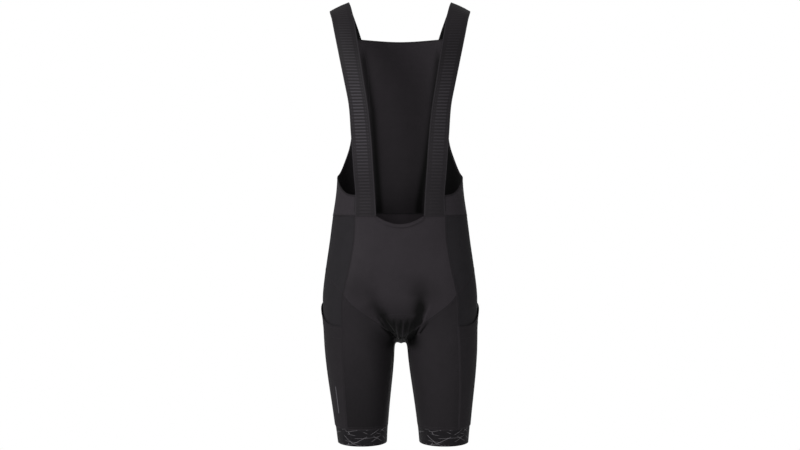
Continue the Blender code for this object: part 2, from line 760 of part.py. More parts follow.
def strap_path(bib):
    """Inner face of the left strap as rows of outer edge, middle and inner edge."""
    table = np.array(STRAP, float)
    line = smooth_line(table, samples=40)
    middle = (line[:, :3] + line[:, 3:]) / 2
    steps = np.linalg.norm(np.diff(middle, axis=0), axis=1)
    along = np.concatenate(([0.0], np.cumsum(steps)))
    crest = along[int(np.argmax(middle[:, 2]))]
    ribbed = np.arange(SEAM_GAP, crest, RIB_PITCH / 2)
    plain = np.linspace(crest, along[-1], PLAIN_STRAP_ROWS)
    wanted = np.concatenate((ribbed, plain))
    rows = read_along(line, along, wanted)
    inner_edge, outer_edge = rows[:, :3], rows[:, 3:]
    tangent = np.gradient((inner_edge + outer_edge) / 2, axis=0)
    across = inner_edge - outer_edge
    out = np.cross(tangent, across)
    out /= np.linalg.norm(out, axis=-1, keepdims=True)
    if out[0, 1] > 0:
        out = -out
    mid = (inner_edge + outer_edge) / 2 + out * STRAP_CROWN
    spine = np.stack((outer_edge, mid, inner_edge), axis=1)
    seam_x = np.linspace(STRAP_SEAM_OUTER, STRAP_SEAM_INNER, 3)
    seam_row = facing([(x, WAIST) for x in seam_x], -1)
    seam_normal = normals(seam_row)
    base = seam_row - seam_normal * STRAP_WALL + (0, 0, SEAM_GAP)
    ease = np.clip(1 - wanted / STRAP_EASE_LENGTH, 0, 1)[:, None, None]
    spine = spine + (base - spine[0])[None] * ease
    facing_out = np.repeat(out[:, None], 3, axis=1)
    facing_out = facing_out * (1 - ease) + seam_normal[None] * ease
    lower = bib[::-1, :3]
    lower_out = normals(lower)
    lower = lower + lower_out * LAY_GAP
    shares = np.array(BRIDGE_SHARES)[:, None, None]
    bridge = spine[-1:] * (1 - shares) + lower[:1] * shares
    bridge_out = facing_out[-1:] * (1 - shares) + lower_out[:1] * shares
    spine = np.concatenate((spine, bridge, lower))
    facing_out = np.concatenate((facing_out, bridge_out, lower_out))
    facing_out /= np.linalg.norm(facing_out, axis=-1, keepdims=True)
    raised = np.zeros(len(spine))
    raised[1 : len(ribbed) : 2] = RIB_HEIGHT
    return spine, facing_out, raised


def strap(name, spine, out, raised, side):
    """A ribbed strap: a plain inner face, and ribs raised along the middle of its outer face."""
    share = STRAP_SEAM_SHARES[0] * 2
    shelf = [spine[:, 0], spine[:, 0] * (1 - share) + spine[:, 1] * share]
    shelf += [spine[:, 2] * (1 - share) + spine[:, 1] * share, spine[:, 2]]
    face = [out[:, 0], out[:, 0] * (1 - share) + out[:, 1] * share]
    face += [out[:, 2] * (1 - share) + out[:, 1] * share, out[:, 2]]
    height = np.stack((np.zeros_like(raised), raised, raised, np.zeros_like(raised)), axis=1)
    outer = np.stack(shelf, axis=1) + np.stack(face, axis=1) * (STRAP_WALL + height)[..., None]
    if side > 0:
        outer, spine = mirrored(outer), mirrored(spine)
    bm = bmesh.new()
    outside = [[bm.verts.new(lean(point) * MM) for point in row] for row in outer]
    inside = [[bm.verts.new(lean(point) * MM) for point in row] for row in spine]
    for cell in triangles(outside, crossed=side < 0):
        bm.faces.new(cell)
    for cell in triangles(inside, crossed=side < 0):
        bm.faces.new(cell[::-1])
    for column in (0, -1):
        add_rim(bm, [row[column] for row in outside], [row[column] for row in inside])
    for end in (0, -1):
        out_row, in_row = outside[end], inside[end]
        for face in (
            (out_row[0], in_row[0], out_row[1]),
            (out_row[1], in_row[0], in_row[1]),
            (out_row[1], in_row[1], out_row[2]),
            (out_row[2], in_row[1], in_row[2]),
            (out_row[2], in_row[2], out_row[3]),
        ):
            bm.faces.new(face)
    add_object(name, bm, "strap_elastic")


def straps(bib):
    """Both straps."""
    spine, out, raised = strap_path(bib)
    strap("strap_left", spine, out, raised, -1)
    strap("strap_right", spine, out, raised, 1)


def seat_pad():
    """The padded insert, which lies inside the crotch and drapes over to both legs."""
    ends = facing(((0, PAD_FRONT_HEIGHT),), -1), facing(((0, PAD_BACK_HEIGHT),), 1)
    under = settle(np.array(PAD_COURSE, float))
    middle = seam(np.concatenate((ends[0], under, ends[1])), PAD_ROWS)
    half_width = profile(PAD_OUTLINE)(np.linspace(0, 1, PAD_ROWS + 1))[:, 0]
    halves = []
    for side in (-1, 1):
        place = middle.copy()
        way = np.tile((float(side), 0.0, 0.0), (PAD_ROWS + 1, 1))
        columns = []
        for _ in range(PAD_COLUMNS // 2):
            for _ in range(STEPS_PER_CELL):
                step = half_width / (PAD_COLUMNS // 2) / STEPS_PER_CELL
                moved = settle(place + way * step[:, None], 6)
                way = moved - place
                way /= np.linalg.norm(way, axis=-1, keepdims=True)
                place = moved
            columns.append(place)
        halves.append(columns)
    grid = np.stack(halves[0][::-1] + [middle] + halves[1], axis=1)
    across = normals(grid)
    outer = grid - across * (WALL + PAD_CLEARANCE)
    wall("seat_pad", [(outer, outer - across * PAD_WALL)], "pad_foam")


def clear_scene():
    """Remove what the scene starts with."""
    for obj in list(bpy.data.objects):
        bpy.data.objects.remove(obj, do_unlink=True)


def main():
    """Build every piece."""
    clear_scene()
    seams = left_seams()
    seat_panel(seams, front_panel(seams))
    side_panels(seams)
    grippers(*leg_panels(seams))
    straps(bib_panel(seams))
    seat_pad()


main()
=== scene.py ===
"""Cargo bib shorts, held open as when worn: cloth, seams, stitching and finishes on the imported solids.

The front faces -Y, +Z is up, and the origin lies between the shoulders. Left and right are as seen from the
front. Lengths are millimetres, apart from those under a comment that says metres.
"""
import json
import math

import bmesh
import bpy
import numpy as np
from bpy.props import FloatProperty, FloatVectorProperty, PointerProperty
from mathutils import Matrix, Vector
from mathutils.kdtree import KDTree

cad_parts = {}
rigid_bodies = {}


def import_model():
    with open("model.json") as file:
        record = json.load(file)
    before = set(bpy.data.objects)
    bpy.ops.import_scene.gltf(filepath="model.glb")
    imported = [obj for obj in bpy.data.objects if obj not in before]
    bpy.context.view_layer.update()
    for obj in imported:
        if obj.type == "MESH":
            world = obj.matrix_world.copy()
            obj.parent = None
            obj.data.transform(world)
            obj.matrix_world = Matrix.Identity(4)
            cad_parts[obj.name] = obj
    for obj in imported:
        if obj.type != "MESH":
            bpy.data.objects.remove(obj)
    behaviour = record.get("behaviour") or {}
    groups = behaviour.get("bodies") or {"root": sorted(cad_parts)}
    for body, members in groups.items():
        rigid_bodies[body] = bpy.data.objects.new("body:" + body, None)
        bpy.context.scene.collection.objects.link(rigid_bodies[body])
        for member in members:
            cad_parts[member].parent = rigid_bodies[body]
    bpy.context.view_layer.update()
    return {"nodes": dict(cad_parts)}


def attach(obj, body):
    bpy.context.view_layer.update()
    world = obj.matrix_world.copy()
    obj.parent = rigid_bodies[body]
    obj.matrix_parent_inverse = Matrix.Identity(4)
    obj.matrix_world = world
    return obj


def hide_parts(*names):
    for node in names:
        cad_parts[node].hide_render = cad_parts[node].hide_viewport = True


bl_info = {
    "name": "Cargo Bib Shorts",
    "version": (1, 0, 0),
    "blender": (4, 5, 0),
    "location": "3D View > Sidebar > Bib Shorts",
    "description": "Cloth, seams, stitching and finishes of knee-length cargo bib shorts",
    "category": "Object",
}

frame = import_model()

MM = 0.001
SIDES = ("left", "right")
# In metres: the upright lines that the panels bend round
MIDDLES = {
    "trunk": (0.0, 0.0),
    "seat": (0.0, -0.08),
    "leg_left": (-0.084, 0.0),
    "leg_right": (0.090, 0.0),
}
# In metres: height of the arm openings, and width of the straps
ARM_HEIGHT = -0.25
STRAP_CUT_WIDTH = 0.041
# In metres: how near two points are one, and how near two panels' edges are joined
WELD_REACH = 0.00001
JOIN_REACH = 0.0012
# Cloth turns by more than this, in degrees, only at its cut edges
CUT_EDGE_ANGLE = 50


# Settings that a user would change

def linear(hex_code):
    """Turn an sRGB hex colour into the linear values that a shader takes."""
    parts = [int(hex_code[i : i + 2], 16) / 255 for i in (1, 3, 5)]
    return tuple(c / 12.92 if c <= 0.04045 else ((c + 0.055) / 1.055) ** 2.4 for c in parts)


def length(name, description, default_mm):
    """A length that is kept in metres and shown in the scene's unit."""
    return FloatProperty(name=name, description=description, default=default_mm * MM, min=0.0, unit="LENGTH")


def colour(name, description, hex_code):
    """A colour with a swatch."""
    return FloatVectorProperty(
        name=name, description=description, default=linear(hex_code), min=0.0, max=1.0, size=3,
        subtype="COLOR",
    )


def power(name, description, default):
    """The power of a lamp."""
    return FloatProperty(name=name, description=description, default=default, min=0.0, unit="POWER")


class ClothSizes(bpy.types.PropertyGroup):
    """Thickness of the panels and depth of their folds"""

    panel: length("Panel Thickness", "Thickness of the knitted panels", 1.5)
    pocket: length("Pocket Thickness", "Thickness of the cloth of the pockets", 1.2)
    binding: length("Binding Thickness", "Thickness of the binding at the neckline", 1.1)
    folds: FloatProperty(
        name="Folds", description="Share of the depth of the folds at the crotch", default=1.0,
        min=0.0, max=1.0, subtype="FACTOR",
    )


class StrapSizes(bpy.types.PropertyGroup):
    """Sizes of the ribbed straps"""

    thickness: length("Thickness", "Thickness of the webbing between its ribs", 1.6)
    rib_pitch: length("Rib Pitch", "Distance from rib to rib", 6.7)
    rib_length: length("Rib Length", "Length of each rib across the strap", 24.0)
    rib_height: length("Rib Height", "Height of the ribs above the webbing", 0.55)


class SewingSizes(bpy.types.PropertyGroup):
    """Sizes of the seams and their stitches"""

    seam_width: length("Seam Width", "Width of the flat seams", 2.6)
    seam_height: length("Seam Height", "Height of the flat seams above the cloth", 0.35)
    stitch: length("Stitch Length", "Length of thread that shows in each stitch", 2.4)
    pitch: length("Stitch Pitch", "Distance from stitch to stitch", 3.2)
    thread: length("Thread Width", "Width of the thread, drawn coarser than real so that it shows", 0.55)


class Colours(bpy.types.PropertyGroup):
    """Colours of the cloth and the sewing"""

    front: colour("Front", "Jersey of the front and the seat", "#302c30")
    side: colour("Sides", "Darker knit of the hips and the outer thighs", "#282629")
    legs: colour("Legs", "Jersey of the legs and the pockets", "#282528")
    mesh: colour("Bib", "Mesh of the bib", "#332f33")
    strap: colour("Straps", "Ground of the straps", "#282528")
    # The ribs' colour is laid on mostly as a painted highlight, strongest over the chest
    rib: colour("Ribs", "Ribs of the straps", "#464348")
    hem: colour("Hem Bands", "Elastic of the hem bands", "#1a181b")
    line: colour("Hem Lines", "Printed lines of the hem bands", "#827f83")
    seam: colour("Seams", "Sewn edges", "#282528")
    thread: colour("Thread", "Sewing thread", "#302d31")
    film: colour("Film", "Reflective bar", "#646267")
    pad: colour("Pad", "Microfibre of the padded insert", "#161517")


class StageSettings(bpy.types.PropertyGroup):
    """Light and floor of the studio"""

    room: FloatProperty(name="Room Light", description="Light from all round", default=0.2, min=0.0, max=1.0)
    key: power("Key Light", "Power of the main lamp", 76.0)
    fill: power("Fill Light", "Power of the lamp at the right", 19.0)
    back: power("Back Light", "Power of the lamp behind", 24.0)
    floor: length("Floor Radius", "Radius of the floor", 2850.0)
    paint: colour("Floor Colour", "Paint of the floor", "#ececee")


GROUPS = {
    "bib_cloth": ClothSizes,
    "bib_straps": StrapSizes,
    "bib_sewing": SewingSizes,
    "bib_colours": Colours,
    "bib_stage": StageSettings,
}


def settings(group):
    """The user's settings of one group."""
    return getattr(bpy.context.scene, group)


# Handling of objects and meshes

def deselect():
    """Leave nothing selected."""
    if bpy.context.object and bpy.context.object.mode != "OBJECT":
        bpy.ops.object.mode_set(mode="OBJECT")
    bpy.ops.object.select_all(action="DESELECT")


def pick(piece):
    """Select one object alone."""
    deselect()
    piece.select_set(True)
    bpy.context.view_layer.objects.active = piece


def shape(mesh, attribute="co"):
    """The mesh's points or normals as an array."""
    values = np.empty(len(mesh.vertices) * 3)
    if attribute == "co":
        mesh.vertices.foreach_get("co", values)
    else:
        mesh.vertex_normals.foreach_get("vector", values)
    return values.reshape(-1, 3)


def reshape(mesh, points):
    """Put new points into the mesh."""
    mesh.vertices.foreach_set("co", np.ascontiguousarray(points).ravel())
    mesh.update()


def note(mesh, name, values):
    """Keep a value between 0 and 1 at every point, for the materials to read."""
    attribute = mesh.attributes.get(name) or mesh.attributes.new(name, "FLOAT", "POINT")
    attribute.data.foreach_set("value", np.clip(values, 0, 1))


def corner_points(mesh):
    """The point at each corner of each face."""
    points = np.empty(len(mesh.loops), int)
    mesh.loops.foreach_get("vertex_index", points)
    return points


def lay_map(mesh, places):
    """Lay a map over the mesh from the place of each of its points."""
    mesh.uv_layers.new(name="cloth").data.foreach_set("uv", np.asarray(places)[corner_points(mesh)].ravel())


def map_of(mesh):
    """The map's place at each corner of each face."""
    flat = np.empty(len(mesh.loops) * 2)
    mesh.uv_layers["cloth"].data.foreach_get("uv", flat)
    return flat.reshape(-1, 2)


def opened(mesh):
    """The mesh's points, edges and faces for bmesh."""
    bm = bmesh.new()
    bm.from_mesh(mesh)
    return bm


def edit_all(piece, step, **how):
    """Run one step of edit mode on a whole piece."""
    pick(piece)
    bpy.ops.object.mode_set(mode="EDIT")
    bpy.ops.mesh.select_all(action="SELECT")
    step(**how)
    bpy.ops.object.mode_set(mode="OBJECT")


def length_along(points):
    """How far along a run each of its points lies."""
    return np.concatenate(([0.0], np.cumsum(np.linalg.norm(np.diff(points, axis=0), axis=1))))


def ramp(values, start, width):
    """A share that rises from 0 at the start to 1 a width further on."""
    return np.clip((values - start) / width, 0, 1)


def bell(away, reach):
    """A share that is 1 in the middle and falls off softly over the reach."""
    return np.exp(-((away / reach) ** 2))


def read_table(table, places):
    """Read a table by its first column: each of its other columns at the places."""
    first, *others = np.array(sorted(table)).T
    return [np.interp(places, first, other) for other in others]


def both_sides(rows):
    """Write each row that has a star in its names once for each side."""
    found = []
    for row in rows:
        for side in SIDES if "*" in row[0] + row[1] else ("",):
            found.append(tuple(cell.replace("*", side) if isinstance(cell, str) else cell for cell in row))
    return tuple(found)


def copy_solid(node, name):
    """Copy a solid of the frame as a new piece, its loose triangles joined at their corners."""
    source = frame["nodes"][node]
    piece = bpy.data.objects.new(name, source.data.copy())
    piece.data.name = name
    piece.data.materials.clear()
    bpy.context.scene.collection.objects.link(piece)
    edit_all(piece, bpy.ops.mesh.remove_doubles, threshold=WELD_REACH)
    edit_all(piece, bpy.ops.mesh.customdata_custom_splitnormals_clear)
    while piece.data.uv_layers:
        piece.data.uv_layers.remove(piece.data.uv_layers[0])
    return piece


def keep_face_of_wall(piece, middle, outer=True):
    """Keep only the outer or the inner face of a wall of cloth, as four-sided cells that face outwards."""
    bm = opened(piece.data)
    left, regions = set(bm.faces), []
    while left:
        start = left.pop()
        region, edge_of = [start], [start]
        while edge_of:
            for edge in edge_of.pop().edges:
                if len(edge.link_faces) == 2 and edge.calc_face_angle() < math.radians(CUT_EDGE_ANGLE):
                    for face in edge.link_faces:
                        if face in left:
                            left.remove(face)
                            region.append(face)
                            edge_of.append(face)
        regions.append(region)

    def facing_out(region):
        total = 0.0
        for face in region:
            centre = face.calc_center_median()
            inside = Vector((*middle, centre.z)) if middle else Vector((0.0, 0.0, ARM_HEIGHT))
            total += face.calc_area() * face.normal.dot(centre - inside)
        return total

    regions.sort(key=facing_out)
    kept = set(regions[-1] if outer else regions[0])
    bmesh.ops.delete(bm, geom=[face for face in bm.faces if face not in kept], context="FACES")
    if not outer:
        bmesh.ops.reverse_faces(bm, faces=bm.faces)
    bm.to_mesh(piece.data)
    bm.free()
    edit_all(
        piece, bpy.ops.mesh.tris_convert_to_quads,
        face_threshold=math.pi, shape_threshold=math.pi, topology_influence=2.0,
    )


def corners_of_walls():
    """Every place where a panel ends in a corner, so that neighbours keep the same corners."""
    places = []
    for piece in bpy.data.objects:
        if piece.get("cloth_cage"):
            bm = opened(piece.data)
            places += [vert.co.copy() for vert in bm.verts if len(vert.link_edges) == 2]
            bm.free()
    return places


def tree_of(places):
    """A tree that finds the nearest of some places."""
    tree = KDTree(max(len(places), 1))
    for index, place in enumerate(places):
        tree.insert(place, index)
    tree.balance()
    return tree


def pin_corners(piece, places):
    """Keep the points of a panel sharp where its own or a neighbour's corner lies."""
    tree = tree_of(places)
    crease = piece.data.attributes.new("crease_vert", "FLOAT", "POINT")
    bm = opened(piece.data)
    edge = [vert.is_boundary for vert in bm.verts]
    bm.free()
    for index, vert in enumerate(piece.data.vertices):
        if edge[index] and tree.find(vert.co)[2] < JOIN_REACH:
            crease.data[index].value = 1.0


def measure_round(piece, middle, middle_angle):
    """Lay a map over the cage in metres: arc round the body across, height up."""
    mesh = piece.data
    points = shape(mesh)
    away = points[:, :2] - middle
    radius = np.hypot(away[:, 0], away[:, 1]).mean()
    turn = np.arctan2(-away[:, 0], -away[:, 1]) - math.radians(middle_angle)
    turn = (turn + math.pi) % (2 * math.pi) - math.pi
    layer = mesh.uv_layers.new(name="cloth")
    for face in mesh.polygons:
        turns = turn[list(face.vertices)]
        if turns.max() - turns.min() > math.pi:
            turns = np.where(turns < 0, turns + 2 * math.pi, turns)
        for loop, vert, angle in zip(face.loop_indices, face.vertices, turns):
            layer.data[loop].uv = (angle * radius, points[vert, 2])


def smooth(piece, levels):
    """Round the cage into cloth and keep its corners."""
    pick(piece)
    modifier = piece.modifiers.new("rounding", "SUBSURF")
    modifier.levels = levels
    modifier.render_levels = levels
    modifier.boundary_smooth = "PRESERVE_CORNERS"
    modifier.uv_smooth = "NONE"
    bpy.ops.object.modifier_apply(modifier=modifier.name)


def thicken(piece, thickness, offset=-1.0):
    """Give the cloth its thickness."""
    pick(piece)
    modifier = piece.modifiers.new("thickness", "SOLIDIFY")
    modifier.thickness = thickness
    modifier.offset = offset
    modifier.use_even_offset = True
    bpy.ops.object.modifier_apply(modifier=modifier.name)


def soften(piece):
    """Shade the piece smoothly apart from its cut edges."""
    pick(piece)
    bpy.ops.object.shade_smooth_by_angle(angle=math.radians(CUT_EDGE_ANGLE))


# The outlines of the panels before they get their thickness, kept for the seams
outlines = {}


def outline_of(mesh):
    """Ordered rings of border points, each with its normals."""
    points, across = shape(mesh), shape(mesh, "normal")
    bm = opened(mesh)
    bm.verts.ensure_lookup_table()
    # Taken in the order of their numbers, so that each run of the script starts the rings at the same points
    left = {edge.index: edge for edge in bm.edges if edge.is_boundary}
    rings = []
    while left:
        edge = left.pop(min(left))
        ring = [edge.verts[0].index, edge.verts[1].index]
        while True:
            following = [e for e in bm.verts[ring[-1]].link_edges if e.index in left]
            if not following:
                break
            edge = left.pop(following[0].index)
            ring.append(edge.other_vert(bm.verts[ring[-1]]).index)
        rings.append((points[ring], across[ring]))
    bm.free()
    return rings


def area_of(mesh):
    """Area of all the faces in square metres."""
    areas = np.empty(len(mesh.polygons))
    mesh.polygons.foreach_get("area", areas)
    return float(areas.sum())


def declare_cut(piece, held, rests_on=()):
    """State the cut of a piece of cloth from its own map, before it gets its thickness."""
    flat = map_of(piece.data)
    wide, high = flat.max(axis=0) - flat.min(axis=0)
    area = area_of(piece.data)
    high = max(high, area / wide)
    return {"flat": (float(wide), float(high)), "held": held, "rests_on": rests_on, "area": area}


# Materials

def add_node(tree, kind, settings=None, links=None):
    """Add a shader node with its settings and the sockets that feed it."""
    node = tree.nodes.new(kind)
    for key, value in (settings or {}).items():
        if isinstance(key, int) or key in node.inputs:
            node.inputs[key].default_value = value
        else:
            setattr(node, key, value)
    for key, source in (links or {}).items():
        tree.links.new(source, node.inputs[key])
    return node


def remap(tree, value, ends, start=(0.0, 1.0), kind="LINEAR"):
    """A share whose start range is stretched to other ends."""
    facts = {
        "interpolation_type": kind,
        "From Min": start[0], "From Max": start[1], "To Min": ends[0], "To Max": ends[1],
    }
    return add_node(tree, "ShaderNodeMapRange", facts, {"Value": value}).outputs["Result"]


def combine(tree, operation, first, second):
    """Two shares worked into one."""
    return add_node(tree, "ShaderNodeMath", {"operation": operation}, {0: first, 1: second}).outputs["Value"]


def new_material(name, base, roughness, sheen):
    """A principled cloth material: its name, colour and the way that it takes light."""
    material = bpy.data.materials.new(name)
    material.use_nodes = True
    tree = material.node_tree
    shader = tree.nodes["Principled BSDF"]
    shader.inputs["Base Color"].default_value = (*base, 1)
    shader.inputs["Roughness"].default_value = roughness
    shader.inputs["IOR"].default_value = CLOTH_IOR
    shader.inputs["Specular IOR Level"].default_value = CLOTH_SPECULAR
    shader.inputs["Sheen Weight"].default_value = sheen
    shader.inputs["Sheen Roughness"].default_value = SHEEN_ROUGHNESS
    material.diffuse_color = (*base, 1)
    return material, tree, shader


def knit(name, base, roughness, sheen, wale, course, depth, mottle):
    """Knitted cloth: upright wales and level courses in millimetres, soft mottling, and painted shade that
    darkens it where an attribute of the mesh says.
    """
    material, tree, shader = new_material(name, base, roughness, sheen)
    flat = add_node(tree, "ShaderNodeUVMap", {"uv_map": "cloth"})
    rows = [
        add_node(
            tree,
            "ShaderNodeTexWave",
            {"bands_direction": way, "Scale": WAVE_OF_A_METRE / (step * MM), **WAVE},
            {"Vector": flat.outputs["UV"]},
        ).outputs["Fac"]
        for way, step in (("X", wale), ("Y", course))
    ]
    loops = combine(tree, "MULTIPLY", *rows)
    place = add_node(tree, "ShaderNodeTexCoord")
    cloudy = add_node(tree, "ShaderNodeTexNoise", CLOUDS, {"Vector": place.outputs["Object"]})
    share = remap(tree, cloudy.outputs["Fac"], (1 - mottle, 1 + mottle), CLOUD_RANGE)
    grain = remap(tree, loops, LOOP_TONES)
    # Painted shade: an attribute of the mesh darkens the colour in folds, creases and other places that lie
    # in shade
    painted_shade_attribute = add_node(tree, "ShaderNodeAttribute", {"attribute_name": "hollow"})
    lit = remap(tree, painted_shade_attribute.outputs["Fac"], (1.0, PAINTED_SHADE_TONE))
    clouded = combine(tree, "MULTIPLY", share, grain)
    tone = combine(tree, "MULTIPLY", clouded, lit)
    tinted = add_node(tree, "ShaderNodeVectorMath", {"operation": "SCALE", 0: base}, {"Scale": tone})
    tree.links.new(tinted.outputs["Vector"], shader.inputs["Base Color"])
    bump_facts = {"Strength": LOOP_STRENGTH, "Distance": depth * MM}
    bump = add_node(tree, "ShaderNodeBump", bump_facts, {"Height": loops})
    tree.links.new(bump.outputs["Normal"], shader.inputs["Normal"])
    return material, tree, shader, tinted.outputs["Vector"]


def tint(tree, shader, under, mask, over):
    """Lay a second colour over the cloth where the mask is 1."""
    mixed = add_node(tree, "ShaderNodeMix", {"data_type": "RGBA", 7: (*over, 1)}, {0: mask, 6: under})
    tree.links.new(mixed.outputs[2], shader.inputs["Base Color"])


def plain_knit(name, base, *facts):
    """A knit in one colour."""
    return knit(name, base, *facts)[0]


def ribbed_webbing(name, base, *facts):
    """Woven elastic whose raised ribs and selvedges are lighter than its ground; on the ribs this is mostly
    a painted highlight.
    """
    material, tree, shader, under = knit(name, base, *facts)
    ribs = add_node(tree, "ShaderNodeAttribute", {"attribute_name": "ribs"})
    tint(tree, shader, under, ribs.outputs["Fac"], tuple(settings("bib_colours").rib))
    return material


def lined_elastic(name, base, *facts):
    """Hem elastic with thin printed lines: nets of slanted shards, each shown only in places."""
    material, tree, shader, under = knit(name, base, *facts)
    flat = add_node(tree, "ShaderNodeUVMap", {"uv_map": "cloth"})
    shown = None
    for turn, cell, offset in LINE_NETS:
        lie = {
            "Rotation": (0.0, 0.0, math.radians(turn)),
            "Scale": (1.0, LINE_STRETCH, 1.0),
            "Location": (offset, offset, 0.0),
        }
        placed = add_node(tree, "ShaderNodeMapping", lie, {"Vector": flat.outputs["UV"]}).outputs["Vector"]
        net = add_node(
            tree,
            "ShaderNodeTexVoronoi",
            {"voronoi_dimensions": "2D", "feature": "DISTANCE_TO_EDGE", "Scale": 1 / (cell * MM)},
            {"Vector": placed},
        )
        half = LINE_HALF_WIDTH / cell
        line = remap(tree, net.outputs["Distance"], (1.0, 0.0), (half, LINE_FADE * half), "SMOOTHSTEP")
        patchy = add_node(tree, "ShaderNodeTexNoise", LINE_PATCHES, {"Vector": placed})
        kept = remap(tree, patchy.outputs["Fac"], (LINE_FAINTEST, 1.0), LINE_PATCH_RANGE, "SMOOTHSTEP")
        part = combine(tree, "MULTIPLY", line, kept)
        shown = part if shown is None else combine(tree, "MAXIMUM", shown, part)
    tint(tree, shader, under, shown, tuple(settings("bib_colours").line))
    return material


# Dull textile fibres: a usual index of refraction, but little shine from the broken surface of the loops
CLOTH_IOR = 1.45
CLOTH_SPECULAR = 0.12
SHEEN_ROUGHNESS = 0.5
# A wave texture of this scale repeats once in a metre
WAVE_OF_A_METRE = 0.31416
WAVE = {"Distortion": 0.5, "Detail": 1.0}
# The loops: tone of their gaps and their tops, and the strength of their bump
LOOP_TONES = (0.82, 1.18)
LOOP_STRENGTH = 0.55
# Soft mottling
CLOUDS = {"Scale": 38.0, "Detail": 4.0, "Roughness": 0.6}
CLOUD_RANGE = (0.3, 0.7)
# How much of its colour the cloth keeps where its painted shade is full
PAINTED_SHADE_TONE = 0.03

# Nets of printed lines on the hem bands
# Columns: turn in degrees, size of a shard, offset
LINE_NETS = ((38, 58, 0.0), (-44, 66, 0.4), (76, 50, 0.9))
LINE_STRETCH = 2.5
LINE_HALF_WIDTH = 0.28
# A line fades out where it is this many times its width, and whole stretches of it are faint
LINE_FADE = 2.2
LINE_PATCHES = {"Scale": 34.0, "Detail": 0.0}
LINE_PATCH_RANGE = (0.44, 0.54)
LINE_FAINTEST = 0.04

# The real wales and courses are about a third as wide; they are drawn coarse enough to show
# Columns: name, maker, colour, roughness, sheen, wale, course, depth of the loops, mottling
FINISHES = {
    # Warp-knitted polyamide jersey, brushed inside: a soft dull face with fine upright ribs
    "front_jersey": ("warp_knit_jersey_front", plain_knit, "front", 0.62, 0.05, 1.3, 1.1, 0.16, 0.05),
    # Circular-knitted compression cloth: duller and darker, with hardly any shine
    "dark_side_knit": ("compression_knit", plain_knit, "side", 0.72, 0.03, 1.1, 1.6, 0.16, 0.06),
    # Warp-knitted polyamide jersey of the legs, a shade darker than the front
    "leg_jersey": ("warp_knit_jersey_leg", plain_knit, "legs", 0.66, 0.03, 1.3, 1.1, 0.16, 0.05),
    # Open warp-knitted polyester mesh: small holes in rows that darken its face
    "bib_mesh": ("warp_knit_mesh", plain_knit, "mesh", 0.7, 0.04, 2.4, 2.6, 0.4, 0.04),
    # Woven elastic with raised ladder ribs, lightened by a painted highlight over the chest
    "strap_elastic": ("woven_rib_elastic", ribbed_webbing, "strap", 0.55, 0.05, 1.0, 1.0, 0.12, 0.03),
    # Knitted hem elastic with a light printed line pattern: smooth and tight
    "hem_elastic": ("knitted_hem_elastic", lined_elastic, "hem", 0.5, 0.03, 1.0, 1.4, 0.14, 0.03),
    # Overlocked edge of the jersey, pressed flat: a little darker than the cloth
    "seam_cloth": ("overlocked_jersey_edge", plain_knit, "seam", 0.7, 0.03, 1.0, 1.0, 0.1, 0.02),
    # Textured polyester thread: dull, a shade lighter than the cloth
    "thread": ("polyester_thread", plain_knit, "thread", 0.6, 0.05, 0.5, 0.5, 0.05, 0.02),
    # Retroreflective transfer film, heat-pressed: a light even grey
    "film": ("reflective_film", plain_knit, "film", 0.4, 0.0, 0.6, 0.6, 0.03, 0.02),
    # Brushed polyester microfibre over foam: nearly black, with a soft bloom
    "pad_foam": ("brushed_microfibre", plain_knit, "pad", 0.85, 0.1, 1.2, 1.2, 0.12, 0.08),
}


def material_of(finish):
    """The material of one finish, made once."""
    name, make, key, *facts = FINISHES[finish]
    return bpy.data.materials.get(name) or make(name, tuple(getattr(settings("bib_colours"), key)), *facts)


def finish_piece(piece, slot, nodes, finish=None):
    """Give a piece its material, fix it to the root body and hide the solids that it stands for."""
    piece.data.materials.clear()
    piece.data.materials.append(material_of(finish or slot))
    soften(piece)
    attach(piece, "root")
    if nodes:
        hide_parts(*nodes)
    return piece


# Panels, where a star stands for left and right
# Columns: solid, piece, finish, levels, line that it bends round, middle of the panel, thickness
# The middle is in degrees from the front towards the left, and is turned over for the right side
CLOTH = both_sides((
    ("front_panel", "front_cloth", "front_jersey", 3, "trunk", 0, "panel"),
    ("seat_panel", "seat_cloth", "front_jersey", 3, "seat", 180, "panel"),
    ("side_panel_*", "hip_cloth_*", "dark_side_knit", 2, "trunk", 90, "panel"),
    ("leg_front_*", "thigh_front_cloth_*", "leg_jersey", 3, "leg_*", -20, "panel"),
    ("leg_back_*", "thigh_back_cloth_*", "leg_jersey", 3, "leg_*", 200, "panel"),
    ("thigh_insert_*", "thigh_insert_cloth_*", "dark_side_knit", 2, "leg_*", 90, "panel"),
    ("cargo_pocket_*", "pocket_cloth_*", "leg_jersey", 3, "leg_*", 90, "pocket"),
    ("gripper_*", "hem_band_*", "hem_elastic", 3, "leg_*", 0, "panel"),
    ("bib_back", "bib_mesh_cloth", "bib_mesh", 3, "trunk", 180, "panel"),
    ("neck_binding", "neckline_binding", "front_jersey", 3, "trunk", 0, "binding"),
))

